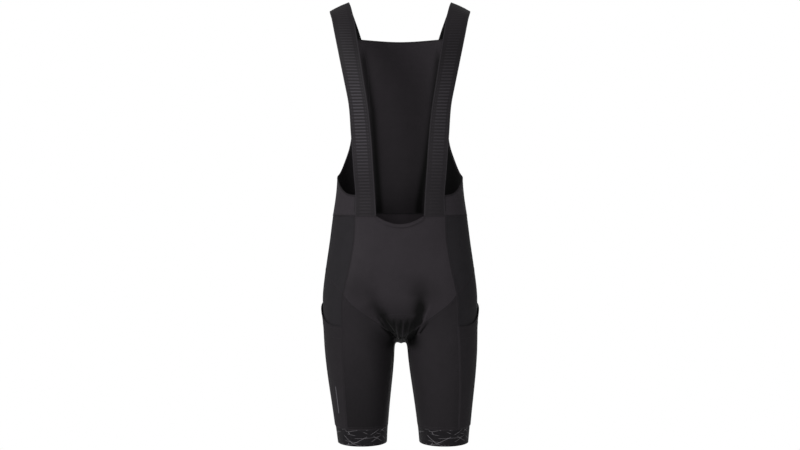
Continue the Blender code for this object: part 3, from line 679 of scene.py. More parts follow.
# Folds at the crotch, on the front: hollows have a depth below 0
# Columns: start across, start height, end across, end height, width, depth at the start and at the end
FOLDS = (
    (-62, -590, -50, -628, 13.0, 0.0, -1.2),
    (-50, -628, -36, -652, 10.0, -1.2, -2.6),
    (-36, -652, -13, -700, 7.0, -2.6, -3.6),
    (48, -560, 41, -606, 19.0, 0.0, -1.6),
    (41, -606, 42, -640, 14.0, -1.6, -2.9),
    (42, -640, 39, -668, 9.5, -2.9, -3.6),
    (39, -668, 18, -706, 7.5, -3.6, -3.6),
    (62, -628, 51, -660, 3.2, 0.2, 1.9),
    (51, -660, 37, -690, 2.8, 1.9, 1.4),
    (-50, -648, -31, -678, 1.9, 0.0, -1.9),
    (-46, -668, -16, -697, 1.9, 0.0, -2.2),
    (-38, -650, -13, -687, 1.9, -0.4, -1.7),
    (-52, -660, -20, -692, 1.7, 0.0, -1.6),
    (58, -665, 41, -688, 1.8, -0.4, -2.2),
    (50, -656, 26, -702, 1.9, -0.4, -1.7),
    (2, -660, 1, -698, 2.1, -0.4, -2.2),
    (-13, -658, -7, -694, 1.9, -0.2, -1.8),
    (-8, -664, -4, -698, 2.0, 0.2, 1.6),
    (8, -660, 4, -692, 2.0, 0.2, 1.7),
    (17, -656, 9, -698, 2.0, -0.2, -1.5),
    (22, -662, 13, -700, 1.8, 0.1, 1.2),
    (1, -662, 1, -712, 15, 1.4, 3.0),
)
# Softer folds under the seat, on the back, in the same columns
SEAT_FOLDS = (
    (-104, -694, -52, -706, 9.0, -0.4, -2.6),
    (-52, -706, -20, -698, 7.0, -2.6, -1.6),
    (112, -688, 60, -704, 10.0, -0.3, -2.4),
    (60, -704, 22, -700, 7.5, -2.4, -1.8),
    (-74, -718, -24, -714, 5.5, 0.0, -2.0),
    (88, -726, 30, -718, 6.0, 0.0, -1.9),
    (-50, -646, -12, -688, 6.0, -0.2, -2.3),
    (42, -640, 12, -686, 6.5, -0.1, -2.4),
    (-26, -658, -6, -690, 5.0, 0.0, -1.9),
    (20, -664, 4, -692, 5.0, 0.0, -1.7),
)
# The folds of each piece, and the side that they face: -1 the front, 1 the back
PRESSED = {
    "front_cloth": (FOLDS, -1),
    "seat_cloth": (SEAT_FOLDS, 1),
    **{f"thigh_front_cloth_{side}": (FOLDS, -1) for side in SIDES},
    **{f"thigh_back_cloth_{side}": (SEAT_FOLDS, 1) for side in SIDES},
}
# In metres: left, right, low and high end of the area with fine creases, and how far back it goes
FOLDED_AREA = (-0.066, 0.07, -0.735, -0.6, -0.03)
# In metres: the folds grow from nothing over this distance in front of the middle, or behind it
FACE_START = 0.02
# Folds at least this wide are broad, and the narrower ones are creases
BROAD_FOLD = 5.0
# Depths at which a hollow, a crease and a hollow under the seat are fully dark with painted shade
FULL_HOLLOW = 2.9
FULL_CREASE = 1.8
SEAT_HOLLOW = 4.5
# The cloth under the end of the pad, darkened with painted shade: its top and its foot
UNDER_PAD_TOP = -615
UNDER_PAD_FOOT = -712
# Its left edge, then its right one
# Columns: place at the top, place at the foot, width over which the shade fades in
UNDER_PAD_EDGES = ((-52, -12, 10), (62, 20, 6))
# Depth of its painted shade. Columns: height, tone
UNDER_PAD_SHADE_TONES = ((-690, 1.0), (-668, 0.92), (-659, 0.66), (-652, 0.42), (-632, 0.24), (-605, 0.0))
# Columns: across, height, reach and tone of the painted shade between the legs
INSEAM_SHADE = ((-17, -714, 16, 1.0), (25, -708, 15, 1.0))
# In metres: how far back the painted shade of the crotch goes, and over what distance it fades
SHADE_END = 0.05
SHADE_FADE = 0.04
# Columns: across, height, reach and tone of the soft painted shade above the legs
LAP_SHADE = ((-88, -596, 36, 0.3), (-62, -640, 26, 0.25), (66, -606, 30, 0.2), (20, -590, 30, 0.14))
# Painted shade on the inner side of the left leg: its tone, and how fast and from where it sets in as the
# cloth turns inwards
INNER_LEG_SHADE = 0.5
INNER_LEG_SLOPE = 1.2
INNER_LEG_START = 0.1
# Painted shade that darkens the legs towards the hem. Columns: height, tone of the left and the right leg
LEG_PAINTED_SHADE = ((-880, 0.5, 0.2), (-790, 0.25, 0.05), (-700, 0.0, 0.0))
# Painted shade on the bib's inner side, where the front would shade it, and painted shadows beside the
# straps
# Columns: height, tone
BIB_PAINTED_SHADE = ((-446, 0.58), (-400, 0.48), (-340, 0.42), (-200, 0.3), (-60, 0.12))
# Painted shadows in bands beside the straps. Columns: height, left band across, right band across
BIB_SHADOW_BANDS = ((-421, -46, 42), (-321, -53, 58), (-210, -61, 73), (-98, -80, 84))
BIB_BAND_REACH = 8.0
BIB_SHADOW_TONE = 0.6
# The bands fade in below the shoulders
BIB_BAND_TOP = 70
BIB_BAND_FADE = 30
# Painted shade inside the arm openings, deeper on the right: its tone on each side, and where it starts and
# fades in, in millimetres across
ARM_SHADE = {"left": 0.3, "right": 0.75}
ARM_SHADE_START = 88.0
ARM_SHADE_FADE = 14
# How far the cloth of the bib has to face inwards to count as its inner side
BIB_INSIDE = 0.2


def fine_cells(piece):
    """Cut the cells of the folded area in half, so that the creases find points."""
    left, right, low, high, back = FOLDED_AREA
    pick(piece)
    bpy.ops.object.mode_set(mode="EDIT")
    bpy.ops.mesh.select_mode(type="FACE")
    bpy.ops.mesh.select_all(action="DESELECT")
    bpy.ops.object.mode_set(mode="OBJECT")
    for face in piece.data.polygons:
        x, y, z = face.center
        face.select = left < x < right and low < z < high and y < back
    bpy.ops.object.mode_set(mode="EDIT")
    bpy.ops.mesh.subdivide(number_cuts=1)
    bpy.ops.object.mode_set(mode="OBJECT")


def add_spots(shade, flat, spots):
    """Deepen a shade by round soft spots."""
    for x, z, reach, tone in spots:
        square = (flat[:, 0] - x) ** 2 + (flat[:, 1] - z) ** 2
        shade = np.maximum(shade, tone * np.exp(-(square / reach**2)))
    return shade


def crotch_shade(points):
    """How deep the painted shade lies at each place between the legs and under the end of the pad."""
    flat = points[:, (0, 2)] / MM
    down = np.clip((UNDER_PAD_TOP - flat[:, 1]) / (UNDER_PAD_TOP - UNDER_PAD_FOOT), 0, 1)
    left, right = (top + (foot - top) * down for top, foot, _fade in UNDER_PAD_EDGES)
    left_fade, right_fade = (fade for _top, _foot, fade in UNDER_PAD_EDGES)
    inside = ramp(flat[:, 0], left, left_fade) * ramp(right - flat[:, 0], 0, right_fade)
    shade = add_spots(inside * read_table(UNDER_PAD_SHADE_TONES, flat[:, 1])[0], flat, INSEAM_SHADE)
    return shade * ramp(SHADE_END - points[:, 1], 0, SHADE_FADE)


def press_folds(piece):
    """Press the folds into the cloth and note how deep the painted shade lies at each place."""
    mesh = piece.data
    folds, facing = PRESSED[piece.name]
    points, across = shape(mesh), shape(mesh, "normal")
    flat = points[:, (0, 2)] / MM
    broad, fine, bulge = np.zeros((3, len(points)))
    for x0, z0, x1, z1, width, first, last in folds:
        run = np.array((x1 - x0, z1 - z0), float)
        share = np.clip(((flat - (x0, z0)) @ run) / (run @ run), 0, 1)
        away = np.linalg.norm(flat - (x0, z0) - share[:, None] * run, axis=1)
        depth = (first + (last - first) * share) * bell(away, width)
        if width < BROAD_FOLD:
            fine += depth
        elif last < 0:
            broad = np.minimum(broad, depth)
        else:
            bulge += depth
    front = ramp(-points[:, 1], FACE_START, FACE_START)
    faced = ramp(points[:, 1] * facing, FACE_START, FACE_START)
    broad, fine, bulge = (depth * faced * settings("bib_cloth").folds for depth in (broad, fine, bulge))
    reshape(mesh, points + across * (broad + fine + bulge)[:, None] * MM)
    shade = np.zeros(len(points))
    for side, painted_leg_shade in zip(SIDES, read_table(LEG_PAINTED_SHADE, flat[:, 1])):
        if piece.name.endswith(side):
            shade = painted_leg_shade
    if piece.name == "front_cloth":
        shade = add_spots(shade, flat, LAP_SHADE)
    if piece.name.endswith("left"):
        turned_in = np.clip(across[:, 0] * INNER_LEG_SLOPE - INNER_LEG_START, 0, 1)
        shade = np.maximum(shade, INNER_LEG_SHADE * turned_in)
    # The folds and creases are pressed in and also darkened with painted shade
    full = FULL_HOLLOW if facing < 0 else SEAT_HOLLOW
    hollow = np.maximum(crotch_shade(points), shade * front) - broad / full
    note(mesh, "hollow", np.clip(hollow - fine / FULL_CREASE, 0, 1))


def shade_bib(piece):
    """Note how deep the painted shade lies on the inner side of the bib."""
    mesh = piece.data
    points, across = shape(mesh) / MM, shape(mesh, "normal")
    x, y, height = points.T
    inward = -(x * across[:, 0] + y * across[:, 1]) / np.hypot(x, y)
    shade = read_table(BIB_PAINTED_SHADE, height)[0]
    for place in read_table(BIB_SHADOW_BANDS, height):
        painted_strap_shadow = BIB_SHADOW_TONE * bell(x - place, BIB_BAND_REACH)
        shade = shade + painted_strap_shadow * ramp(-height, BIB_BAND_TOP, BIB_BAND_FADE)
    side = np.where(x < 0, ARM_SHADE["left"], ARM_SHADE["right"])
    shade = shade + side * ramp(np.abs(x), ARM_SHADE_START, ARM_SHADE_FADE)
    note(mesh, "hollow", shade * (inward > BIB_INSIDE))


def make_cages():
    """Take the outer face of every panel's wall from the frame."""
    for node, name, _slot, _levels, middle, angle, _wall in CLOTH:
        piece = copy_solid(node, name)
        keep_face_of_wall(piece, MIDDLES[middle])
        measure_round(piece, MIDDLES[middle], -angle if name.endswith("right") else angle)
        piece["cloth_cage"] = True
    places = corners_of_walls()
    for _node, name, *_rest in CLOTH:
        pin_corners(bpy.data.objects[name], places)


def make_cloth(*wanted):
    """Round, press and finish the panels whose solids are wanted."""
    if CLOTH[0][1] not in bpy.data.objects:
        make_cages()
    for node, name, slot, levels, _middle, _angle, wall in CLOTH:
        if not node.startswith(wanted):
            continue
        piece = bpy.data.objects[name]
        del piece["cloth_cage"]
        smooth(piece, levels)
        if name in PRESSED:
            if PRESSED[name][0] is FOLDS:
                fine_cells(piece)
            press_folds(piece)
        else:
            # Panels without folds get only the painted shade of the crotch
            note(piece.data, "hollow", crotch_shade(shape(piece.data)))
        outlines[name] = outline_of(piece.data)
        cut = declare_cut(piece, "stretched")
        thicken(piece, getattr(settings("bib_cloth"), wall))
        if name == "bib_mesh_cloth":
            shade_bib(piece)
        finish_piece(piece, slot, [node])


# Straps
# In metres: height below which the strap's first row of points lies, and the least length of a cell
STRAP_FOOT = -0.4447
STRAP_CELL = 0.006
# A curve through three points, read half-way between two of them
# Columns: share of the outer one of the two, share of the middle one, share that the third takes away
HALF_WAY = (0.375, 0.75, 0.125)
RIB_STEEPNESS = 2.2
# Places of the small dots and the selvedges from the strap's middle
DOT_PLACE = 14.8
SELVEDGE_PLACE = 19.2
# In metres: width over which a rib ends, reach of a dot and of a selvedge, and height of the selvedges
RIB_END = 0.0012
DOT_REACH = 0.0009
SELVEDGE_REACH = 0.0008
SELVEDGE_HEIGHT = 0.00025
# Height of the dots as a share of a rib's, and the selvedges' share of the ribs' colour
DOT_SHARE = 0.7
SELVEDGE_SHARE = 0.3
# The ribs stand lower away from the chest, where their painted highlight is faint: the share of its height
# that each keeps
LEAST_RIB_HEIGHT = 0.4
# Share of the ribs' lighter colour away from the chest, and what the chest adds: mostly a painted highlight,
# stronger on the left strap than on the right
RIB_SHOW = {"left": (0.1, 0.85), "right": (0.04, 0.55)}
# In metres: height and reach of the chest, where the ribs' painted highlight is strongest
CHEST_HEIGHT = -0.24
CHEST_REACH = 0.12
# Painted shade that darkens the strap where it turns up towards the shoulder. Columns: height in metres,
# tone
STRAP_PAINTED_SHADE = ((-0.46, 0.16), (-0.4, 0.06), (-0.3, 0.0), (-0.18, 0.24), (-0.11, 0.42), (-0.02, 0.16))
# In metres: where the strap's run behind the shoulder starts, and how it fades into its painted shade
BEHIND_START = -0.01
BEHIND_FADE = 0.03
BEHIND_SLOPE = 3


def rows_of_strap(piece):
    """Rows of three points up the strap from its seam at the waist, the inner edge first."""
    bm = opened(piece.data)
    row = [vert for vert in bm.verts if vert.co.z < STRAP_FOOT and vert.co.y < 0]
    seen, rows = set(row), []
    while row:
        row.sort(key=lambda vert: abs(vert.co.x))
        rows.append([vert.co.copy() for vert in row])
        row = list({edge.other_vert(vert) for vert in row for edge in vert.link_edges} - seen)
        seen |= set(row)
    bm.free()
    if len(row) or any(len(found) != 3 for found in rows):
        raise RuntimeError(f"{piece.name} isn't made of rows of three points")
    return np.array(rows)


def relay_strap(piece, mirrored):
    """Lay the strap's cage again as even cells, with a map: across from its middle, up from the waist."""
    rows = rows_of_strap(piece)
    along = length_along(rows[:, 1])
    kept = [0]
    for index in range(1, len(rows)):
        if along[index] - along[kept[-1]] > STRAP_CELL or index == len(rows) - 1:
            kept.append(index)
    rows, along = rows[kept], along[kept]
    inner, middle, outer = rows[:, 0], rows[:, 1], rows[:, 2]
    beside_it, at_it, beyond_it = HALF_WAY
    near = beside_it * inner + at_it * middle - beyond_it * outer
    far = beside_it * outer + at_it * middle - beyond_it * inner
    grid = np.stack((inner, near, middle, far, outer), axis=1)
    count = grid.shape[1]
    faces = []
    for row in range(len(rows) - 1):
        for column in range(count - 1):
            a = row * count + column
            face = (a, a + count, a + count + 1, a + 1)
            faces.append(face[::-1] if mirrored else face)
    name = piece.data.name
    mesh = bpy.data.meshes.new(name)
    mesh.from_pydata(grid.reshape(-1, 3).tolist(), [], faces)
    places_across = np.linspace(-0.5, 0.5, count) * STRAP_CUT_WIDTH
    lay_map(mesh, np.stack(np.meshgrid(places_across, along), axis=-1).reshape(-1, 2))
    piece.data = mesh
    return float(along[-1])


def flat_places(mesh):
    """The map's place of every point, as an array."""
    places = np.zeros((len(mesh.vertices), 2))
    places[corner_points(mesh)] = map_of(mesh)
    return places


def raise_ribs(piece, side):
    """Raise the ladder ribs, the small dots at their ends and the two selvedges."""
    sizes, mesh = settings("bib_straps"), piece.data
    places, points, across = flat_places(mesh), shape(mesh), shape(mesh, "normal")
    wave = 0.5 + 0.5 * np.cos(2 * math.pi * places[:, 1] / sizes.rib_pitch)
    away = np.abs(places[:, 0])
    bar = ramp(sizes.rib_length / 2 - away, 0, RIB_END)
    dot = bell(away - DOT_PLACE * MM, DOT_REACH)
    selvedge = bell(away - SELVEDGE_PLACE * MM, SELVEDGE_REACH)
    raised = wave**RIB_STEEPNESS * (bar + DOT_SHARE * dot)
    low, more = RIB_SHOW[side]
    shown = low + more * bell(points[:, 2] - CHEST_HEIGHT, CHEST_REACH)
    height = sizes.rib_height * raised * (LEAST_RIB_HEIGHT + (1 - LEAST_RIB_HEIGHT) * shown) + SELVEDGE_HEIGHT * selvedge
    reshape(mesh, points + across * height[:, None])
    # The ribs' lighter colour: a little of it their own, most of it a painted highlight over the chest
    note(mesh, "ribs", raised * shown + SELVEDGE_SHARE * selvedge)
    # The run behind the shoulder is seen from inside and gets painted shade where the run in front would
    # shade it; the rest of the strap gets painted shade by height
    inside = ramp(points[:, 1], BEHIND_START, BEHIND_FADE) * np.clip(-across[:, 1] * BEHIND_SLOPE, 0, 1)
    note(mesh, "hollow", np.maximum(inside, read_table(STRAP_PAINTED_SHADE, points[:, 2])[0]))


def make_straps():
    """Both straps, from the seam at the waist over the shoulder to the bib."""
    for side in SIDES:
        piece = copy_solid(f"strap_{side}", f"strap_webbing_{side}")
        keep_face_of_wall(piece, None, outer=False)
        far = relay_strap(piece, side == "right")
        smooth(piece, 3)
        outlines[piece.name] = outline_of(piece.data)
        area = min(area_of(piece.data), STRAP_CUT_WIDTH * far)
        thicken(piece, settings("bib_straps").thickness, 1.0)
        raise_ribs(piece, side)
        finish_piece(piece, "strap_elastic", [f"strap_{side}"])


# Padded insert
# The groove along its middle, pressed where the pad faces up by half or more
PAD_GROOVE = 1.1
PAD_GROOVE_WIDTH = 3.0
PAD_GROOVE_SLOPE = 2
# The corners of the pad are drawn up and in, clear of the folds in the cloth below them
# Columns: across, depth, height
PAD_CORNERS = ((-18, -48, -695), (18, -44, -699), (25, 58, -698), (-25, 62, -697))
PAD_HEART = (0, 0, -640)
PAD_CORNER_REACH = 13.0
PAD_TUCK = 2.6


def make_pad():
    """The padded insert: the whole solid, rounded, with a groove along its middle."""
    piece = copy_solid("seat_pad", "seat_pad_cushion")
    edit_all(piece, bpy.ops.mesh.tris_convert_to_quads, face_threshold=math.pi, shape_threshold=math.pi)
    measure_round(piece, MIDDLES["seat"], 180)
    smooth(piece, 3)
    points, across = shape(piece.data), shape(piece.data, "normal")
    groove = bell(points[:, 0], PAD_GROOVE_WIDTH * MM) * np.clip(across[:, 2] * PAD_GROOVE_SLOPE, 0, 1)
    points = points - across * groove[:, None] * PAD_GROOVE * MM
    for corner in np.array(PAD_CORNERS, float):
        inward = (PAD_HEART - corner) / np.linalg.norm(PAD_HEART - corner)
        near = np.exp(-(((points / MM - corner) ** 2).sum(axis=1) / PAD_CORNER_REACH**2))
        points = points + near[:, None] * inward * PAD_TUCK * MM
    reshape(piece.data, points)
    finish_piece(piece, "pad_foam", ["seat_pad"])


# Seams and stitches
SEAM_DEPTH = 1.9
THREAD_HEIGHT = 0.28
THREAD_DEPTH = 0.2
NEEDLE_ROWS = (-2.1, 2.1)
# In metres: how near the pocket's edge lies to the insert where it is sewn down
POCKET_REACH = 0.0034
# In metres: steps along an outline that is followed, and along one that is only compared with
RUN_STEP = 0.002
COMPARED_STEP = 0.0008
# A run has more points than this
SHORT_RUN = 4
# Steps of a run from stitch to stitch
STITCH_STEPS = 4
# In metres: how far off the cloth a run is held before it is laid on from outside or from inside
OUTSIDE = 0.003
INSIDE = -0.004
# A ridge's top bends through this share of a half circle
# Its foot has this share of its width on each side
DOME_BEND = 0.9
DOME_FOOT = 0.3
# Shorter than any real length, to divide by where a run stands still
TINY = 1e-12


def dense(points, across, step):
    """Read a run of points and normals again at equal steps."""
    along = length_along(points)
    count = max(int(along[-1] / step), 2)
    wanted = np.linspace(0, along[-1], count + 1)
    fine = np.stack([np.interp(wanted, along, points[:, i]) for i in range(3)], axis=1)
    normal = np.stack([np.interp(wanted, along, across[:, i]) for i in range(3)], axis=1)
    return fine, normal / np.linalg.norm(normal, axis=1, keepdims=True)


def stretches(points, across, kept):
    """The stretches of a closed ring whose points are kept."""
    if kept.all():
        return [(points, across)]
    start = int(np.argmin(kept))
    order = np.roll(np.arange(len(points) - 1), -start)
    runs, run = [], []
    for index in (*order, order[0]):
        if kept[index]:
            run.append(index)
        else:
            if len(run) > SHORT_RUN:
                runs.append((points[run], across[run]))
            run = []
    return runs


def shared_runs(first, second, reach, beside_it=True):
    """The stretches of one piece's outline that run beside another's, or away from it."""
    tree = tree_of(np.concatenate([dense(*ring, COMPARED_STEP)[0] for ring in outlines[second]]))
    runs = []
    for ring in outlines[first]:
        points, across = dense(*ring, RUN_STEP)
        near = np.array([(tree.find(point)[2] < reach) == beside_it for point in points])
        runs += stretches(points, across, near)
    return runs


def part_of_outline(name, test):
    """The stretches of an outline whose points pass a test of their place."""
    runs = []
    for ring in outlines[name]:
        points, across = dense(*ring, RUN_STEP)
        runs += stretches(points, across, test(points[:, 0], points[:, 1], points[:, 2]))
    return runs


def laid_on(name, points):
    """The nearest places on a piece, and the way out from it there."""
    piece = bpy.data.objects[name]
    found = [piece.closest_point_on_mesh(Vector(point)) for point in points]
    return np.array([hit[1] for hit in found]), np.array([hit[2] for hit in found])


def moved_run(name, run, step, out=OUTSIDE):
    """A run moved by a step and laid on a piece again, from its outer or inner side."""
    points, across = run
    return laid_on(name, points + np.asarray(step) + across * out)


def beside(points, across):
    """Unit steps across a run, level with the cloth, and the way out square to the run."""
    along = np.gradient(points, axis=0)
    along /= np.maximum(np.linalg.norm(along, axis=1, keepdims=True), TINY)
    side = np.cross(along, across)
    side /= np.maximum(np.linalg.norm(side, axis=1, keepdims=True), TINY)
    return side, np.cross(side, along)


def domed(width, height, depth, steps=4):
    """Cross-section of a flat ridge: a domed top and a narrower foot."""
    places = [i / steps - 0.5 for i in range(steps + 1)]
    top = [(width * place, height * math.cos(math.pi * place * DOME_BEND)) for place in places]
    return np.array(top + [(width * DOME_FOOT, -depth), (-width * DOME_FOOT, -depth)]) * MM


def seam_band():
    """Cross-section of a flat seam, sunk so that it closes the join under it."""
    sizes = settings("bib_sewing")
    return domed(sizes.seam_width / MM, sizes.seam_height / MM, SEAM_DEPTH)


def thread_band():
    """Cross-section of one thread."""
    return domed(settings("bib_sewing").thread / MM, THREAD_HEIGHT, THREAD_DEPTH, 2)


def sweep(name, runs, section):
    """Draw a cross-section along each run, close its ends and lay a map over it in metres."""
    verts, faces, flat = [], [], []
    count = len(section)
    girth = length_along(section)
    for points, across in runs:
        first = len(verts)
        side, up = beside(points, across)
        far = length_along(points)
        rings = points[:, None] + side[:, None] * section[None, :, :1] + up[:, None] * section[None, :, 1:]
        verts += rings.reshape(-1, 3).tolist()
        flat += [(across_at, along_at) for along_at in far for across_at in girth]
        for ring in range(len(points) - 1):
            for i in range(count):
                a = first + ring * count + i
                b = first + ring * count + (i + 1) % count
                faces.append((a, b, b + count, a + count))
        faces.append(tuple(range(first + count - 1, first - 1, -1)))
        last = first + (len(points) - 1) * count
        faces.append(tuple(range(last, last + count)))
    mesh = bpy.data.meshes.new(name)
    mesh.from_pydata(verts, [], faces)
    lay_map(mesh, flat)
    piece = bpy.data.objects.new(name, mesh)
    bpy.context.scene.collection.objects.link(piece)
    bm = opened(mesh)
    bmesh.ops.recalc_face_normals(bm, faces=bm.faces)
    bm.to_mesh(mesh)
    bm.free()
    return piece


def stitches(runs, rows=(0.0,)):
    """Cut runs into the short threads of rows of stitches, beside the run and on its cloth."""
    sizes, found = settings("bib_sewing"), []
    keep = max(round(sizes.stitch / sizes.pitch * STITCH_STEPS), 1)
    for run in runs:
        points, across = dense(*run, sizes.pitch / STITCH_STEPS)
        side, _up = beside(points, across)
        for row in rows:
            line = points + side * row * MM
            for start in range(0, len(line) - keep, STITCH_STEPS):
                found.append((line[start : start + keep + 1], across[start : start + keep + 1]))
    return found


def add_trim(name, runs, section, slot, finish):
    """A swept piece of sewing, finished and fixed to the garment."""
    if not runs:
        raise RuntimeError(f"{name} has no run to follow")
    piece = sweep(name, runs, section)
    # Every trim but the front's stitches gets the painted shade of the crotch
    if name != "front_stitches":
        note(piece.data, "hollow", crotch_shade(shape(piece.data)))
    return finish_piece(piece, slot, [], finish=finish)


# The flat seams between panels, where a star stands for left and right
# Columns: first panel, second panel
SEAMS = both_sides((
    ("front_cloth", "hip_cloth_*"),
    ("front_cloth", "thigh_front_cloth_*"),
    ("front_cloth", "seat_cloth"),
    ("seat_cloth", "hip_cloth_*"),
    ("seat_cloth", "thigh_back_cloth_*"),
    ("hip_cloth_*", "thigh_insert_cloth_*"),
    ("thigh_front_cloth_*", "thigh_insert_cloth_*"),
    ("thigh_back_cloth_*", "thigh_insert_cloth_*"),
    ("thigh_front_cloth_*", "thigh_back_cloth_*"),
    ("bib_mesh_cloth", "hip_cloth_*"),
    ("bib_mesh_cloth", "seat_cloth"),
))
# Rows of stitches on both sides of a hem band's upper edge
BAND_STITCH_ROWS = (-2.2, 4.0)
# Depth of the pocket's hem, and of the row of stitches at its edge
POCKET_HEM = 25.0
POCKET_EDGE_STITCH = 4.0
# Cross-section of the pocket's edge: it slopes down to the leg on both sides
POCKET_EDGE = ((-3.2, -1.9), (-1.6, -0.75), (0.0, 0.12), (1.6, -0.75), (3.2, -1.9), (0.0, -2.2))
# Ridges are given as width, height and depth
BIB_EDGE = (4.0, 0.35, 1.8)
STRAP_SEAM = (3.2, 0.4, 1.9)
NECK_EDGE = (2.2, 1.75, 1.7)
WAIST_TAPE = (3.0, 0.5, 0.3)
BAR = (2.4, 0.15, 0.1)
# In metres: the tape's rise above the waist seam, and the drop of the neckline's edge
TAPE_RISE = 0.001
NECK_EDGE_DROP = 0.001
# Distance of the rows of stitches from the edge of the bib, the strap and the neckline
BIB_HEM = 12.0
STRAP_STITCH = 3.0
NECK_STITCH = 6.2
# In metres: height above which the bib's edge is free, then lowest height and half width of its top hem
BIB_FREE = -0.437
BIB_TOP = -0.075
BIB_TOP_HALF = 0.083
# In metres: the strap is sewn to the bib behind this depth and below this height
SEWN_BACK = 0.07
SEWN_TOP = -0.06
SEWN_OUTSIDE = 0.005
SEWN_INSIDE = -0.006
# In metres: half width and lowest height of the neckline
NECK_PART = (0.0475, -0.468)
# In metres: inner end, outer end and lowest height of the seam under a strap
STRAP_PART = (0.0485, 0.0945, -0.4475)
# The arc of stitches at the front end of the pad, laid on from this far in front
PAD_STITCH_ENDS = (-24.0, 26.0)
PAD_STITCH_HEIGHT = -647.5
PAD_STITCH_DROP = 4.5
PAD_STITCH_FRONT = -105
PAD_STITCH_POINTS = 40
# The reflective bar: place across, upper and lower end, and how far in front it is laid on from
BAR_PLACE = -144.5
BAR_ENDS = (-804.0, -862.0)
BAR_FRONT = -60
BAR_POINTS = 30


def hem_ring(side):
    """The upper ring of a hem band's outline."""
    return max(outlines[f"hem_band_{side}"], key=lambda ring: ring[0][:, 2].mean())


def make_seams():
    """Flat seams that close the joins of the panels, with a row of stitches on each side."""
    runs = [run for first, second in SEAMS for run in shared_runs(first, second, JOIN_REACH)]
    rings = [dense(*hem_ring(side), RUN_STEP) for side in SIDES]
    add_trim("flat_seams", runs + rings, seam_band(), "front_jersey", "seam_cloth")
    threads = stitches(runs, NEEDLE_ROWS) + stitches(rings, BAND_STITCH_ROWS)
    add_trim("seam_stitches", threads, thread_band(), "front_jersey", "thread")


def make_waist_tape():
    """Tape over the waist seam on the inside of the back."""
    runs = shared_runs("bib_mesh_cloth", "seat_cloth", JOIN_REACH)
    inside = [moved_run("bib_mesh_cloth", run, (0, 0, TAPE_RISE), INSIDE) for run in runs]
    add_trim("waist_tape", inside, domed(*WAIST_TAPE), "bib_mesh", "pad_foam")


def make_pocket_trim():
    """Sewn edges of the pockets and the stitches of the hem at their mouths."""
    edges, hems = [], []
    for side in SIDES:
        pocket, insert = f"pocket_cloth_{side}", f"thigh_insert_cloth_{side}"
        edges += shared_runs(pocket, insert, POCKET_REACH)
        for mouth in shared_runs(pocket, insert, POCKET_REACH, beside_it=False):
            for drop in (POCKET_HEM, POCKET_EDGE_STITCH):
                hems.append(moved_run(pocket, mouth, (0, 0, -drop * MM)))
    add_trim("pocket_edges", edges, np.array(POCKET_EDGE) * MM, "leg_jersey", "leg_jersey")
    add_trim("pocket_hem_stitches", stitches(hems), thread_band(), "leg_jersey", "thread")


def running_mean(values, reach=25):
    """A running mean over neighbours."""
    padded = np.pad(values, reach, mode="edge")
    return np.convolve(padded, np.ones(2 * reach + 1) / (2 * reach + 1), mode="valid")


def make_bib_trim():
    """Folded edge of the bib, the stitches of its top hem and those that hold the straps."""
    free = part_of_outline("bib_mesh_cloth", lambda x, y, z: z > BIB_FREE)
    add_trim("bib_edge_binding", free, domed(*BIB_EDGE), "bib_mesh", "seam_cloth")
    rows = []
    for run in part_of_outline("bib_mesh_cloth", lambda x, y, z: (z > BIB_TOP) & (np.abs(x) < BIB_TOP_HALF)):
        rows += [moved_run("bib_mesh_cloth", run, (0, 0, -BIB_HEM * MM), out) for out in (OUTSIDE, INSIDE)]
    for side in SIDES:
        strap = f"strap_webbing_{side}"
        for points, across in part_of_outline(strap, lambda x, y, z: (y > SEWN_BACK) & (z < SEWN_TOP)):
            order = np.argsort(points[:, 2])
            middle = np.interp(points[:, 2], points[order, 2], running_mean(points[order, 0]))
            inward = np.zeros_like(points)
            inward[:, 0] = np.sign(middle - points[:, 0]) * STRAP_STITCH * MM
            rows.append(moved_run(strap, (points, across), inward, SEWN_OUTSIDE))
            rows.append(moved_run("bib_mesh_cloth", (points, across), inward, SEWN_INSIDE))
    add_trim("bib_stitches", stitches(rows), thread_band(), "bib_mesh", "thread")


def make_front_trim():
    """Edge and stitches of the neckline, the seams under the straps and the outline of the pad."""
    half, low = NECK_PART
    neck = part_of_outline("front_cloth", lambda x, y, z: (np.abs(x) < half) & (z > low) & (y < 0))
    inner, outer, foot = STRAP_PART
    straps = part_of_outline(
        "front_cloth", lambda x, y, z: (np.abs(x) > inner) & (np.abs(x) < outer) & (z > foot) & (y < 0)
    )
    add_trim("strap_seams", straps, domed(*STRAP_SEAM), "front_jersey", "seam_cloth")
    lowered = [(points - (0, 0, NECK_EDGE_DROP), across) for points, across in neck]
    add_trim("neckline_edge", lowered, domed(*NECK_EDGE), "front_jersey", "front_jersey")
    rows = [moved_run("neckline_binding", run, (0, 0, -NECK_STITCH * MM)) for run in neck]
    rows += [moved_run("front_cloth", run, (0, 0, -STRAP_STITCH * MM)) for run in straps]
    left, right = PAD_STITCH_ENDS
    x = np.linspace(left, right, PAD_STITCH_POINTS)
    drop = PAD_STITCH_DROP * ((x - (left + right) / 2) / ((right - left) / 2)) ** 2
    arc = np.stack((x, np.full_like(x, PAD_STITCH_FRONT), PAD_STITCH_HEIGHT - drop), axis=1) * MM
    rows.append(laid_on("front_cloth", arc))
    add_trim("front_stitches", stitches(rows), thread_band(), "front_jersey", "thread")


def make_bar():
    """A plain reflective bar on the left thigh."""
    height = np.linspace(*BAR_ENDS, BAR_POINTS)
    across, front = np.full_like(height, BAR_PLACE), np.full_like(height, BAR_FRONT)
    run = laid_on("pocket_cloth_left", np.stack((across, front, height), axis=1) * MM)
    add_trim("reflective_bar", [run], domed(*BAR, 2), "leg_jersey", "film")


# Stage, in metres
FLOOR_HEIGHT = -1.6
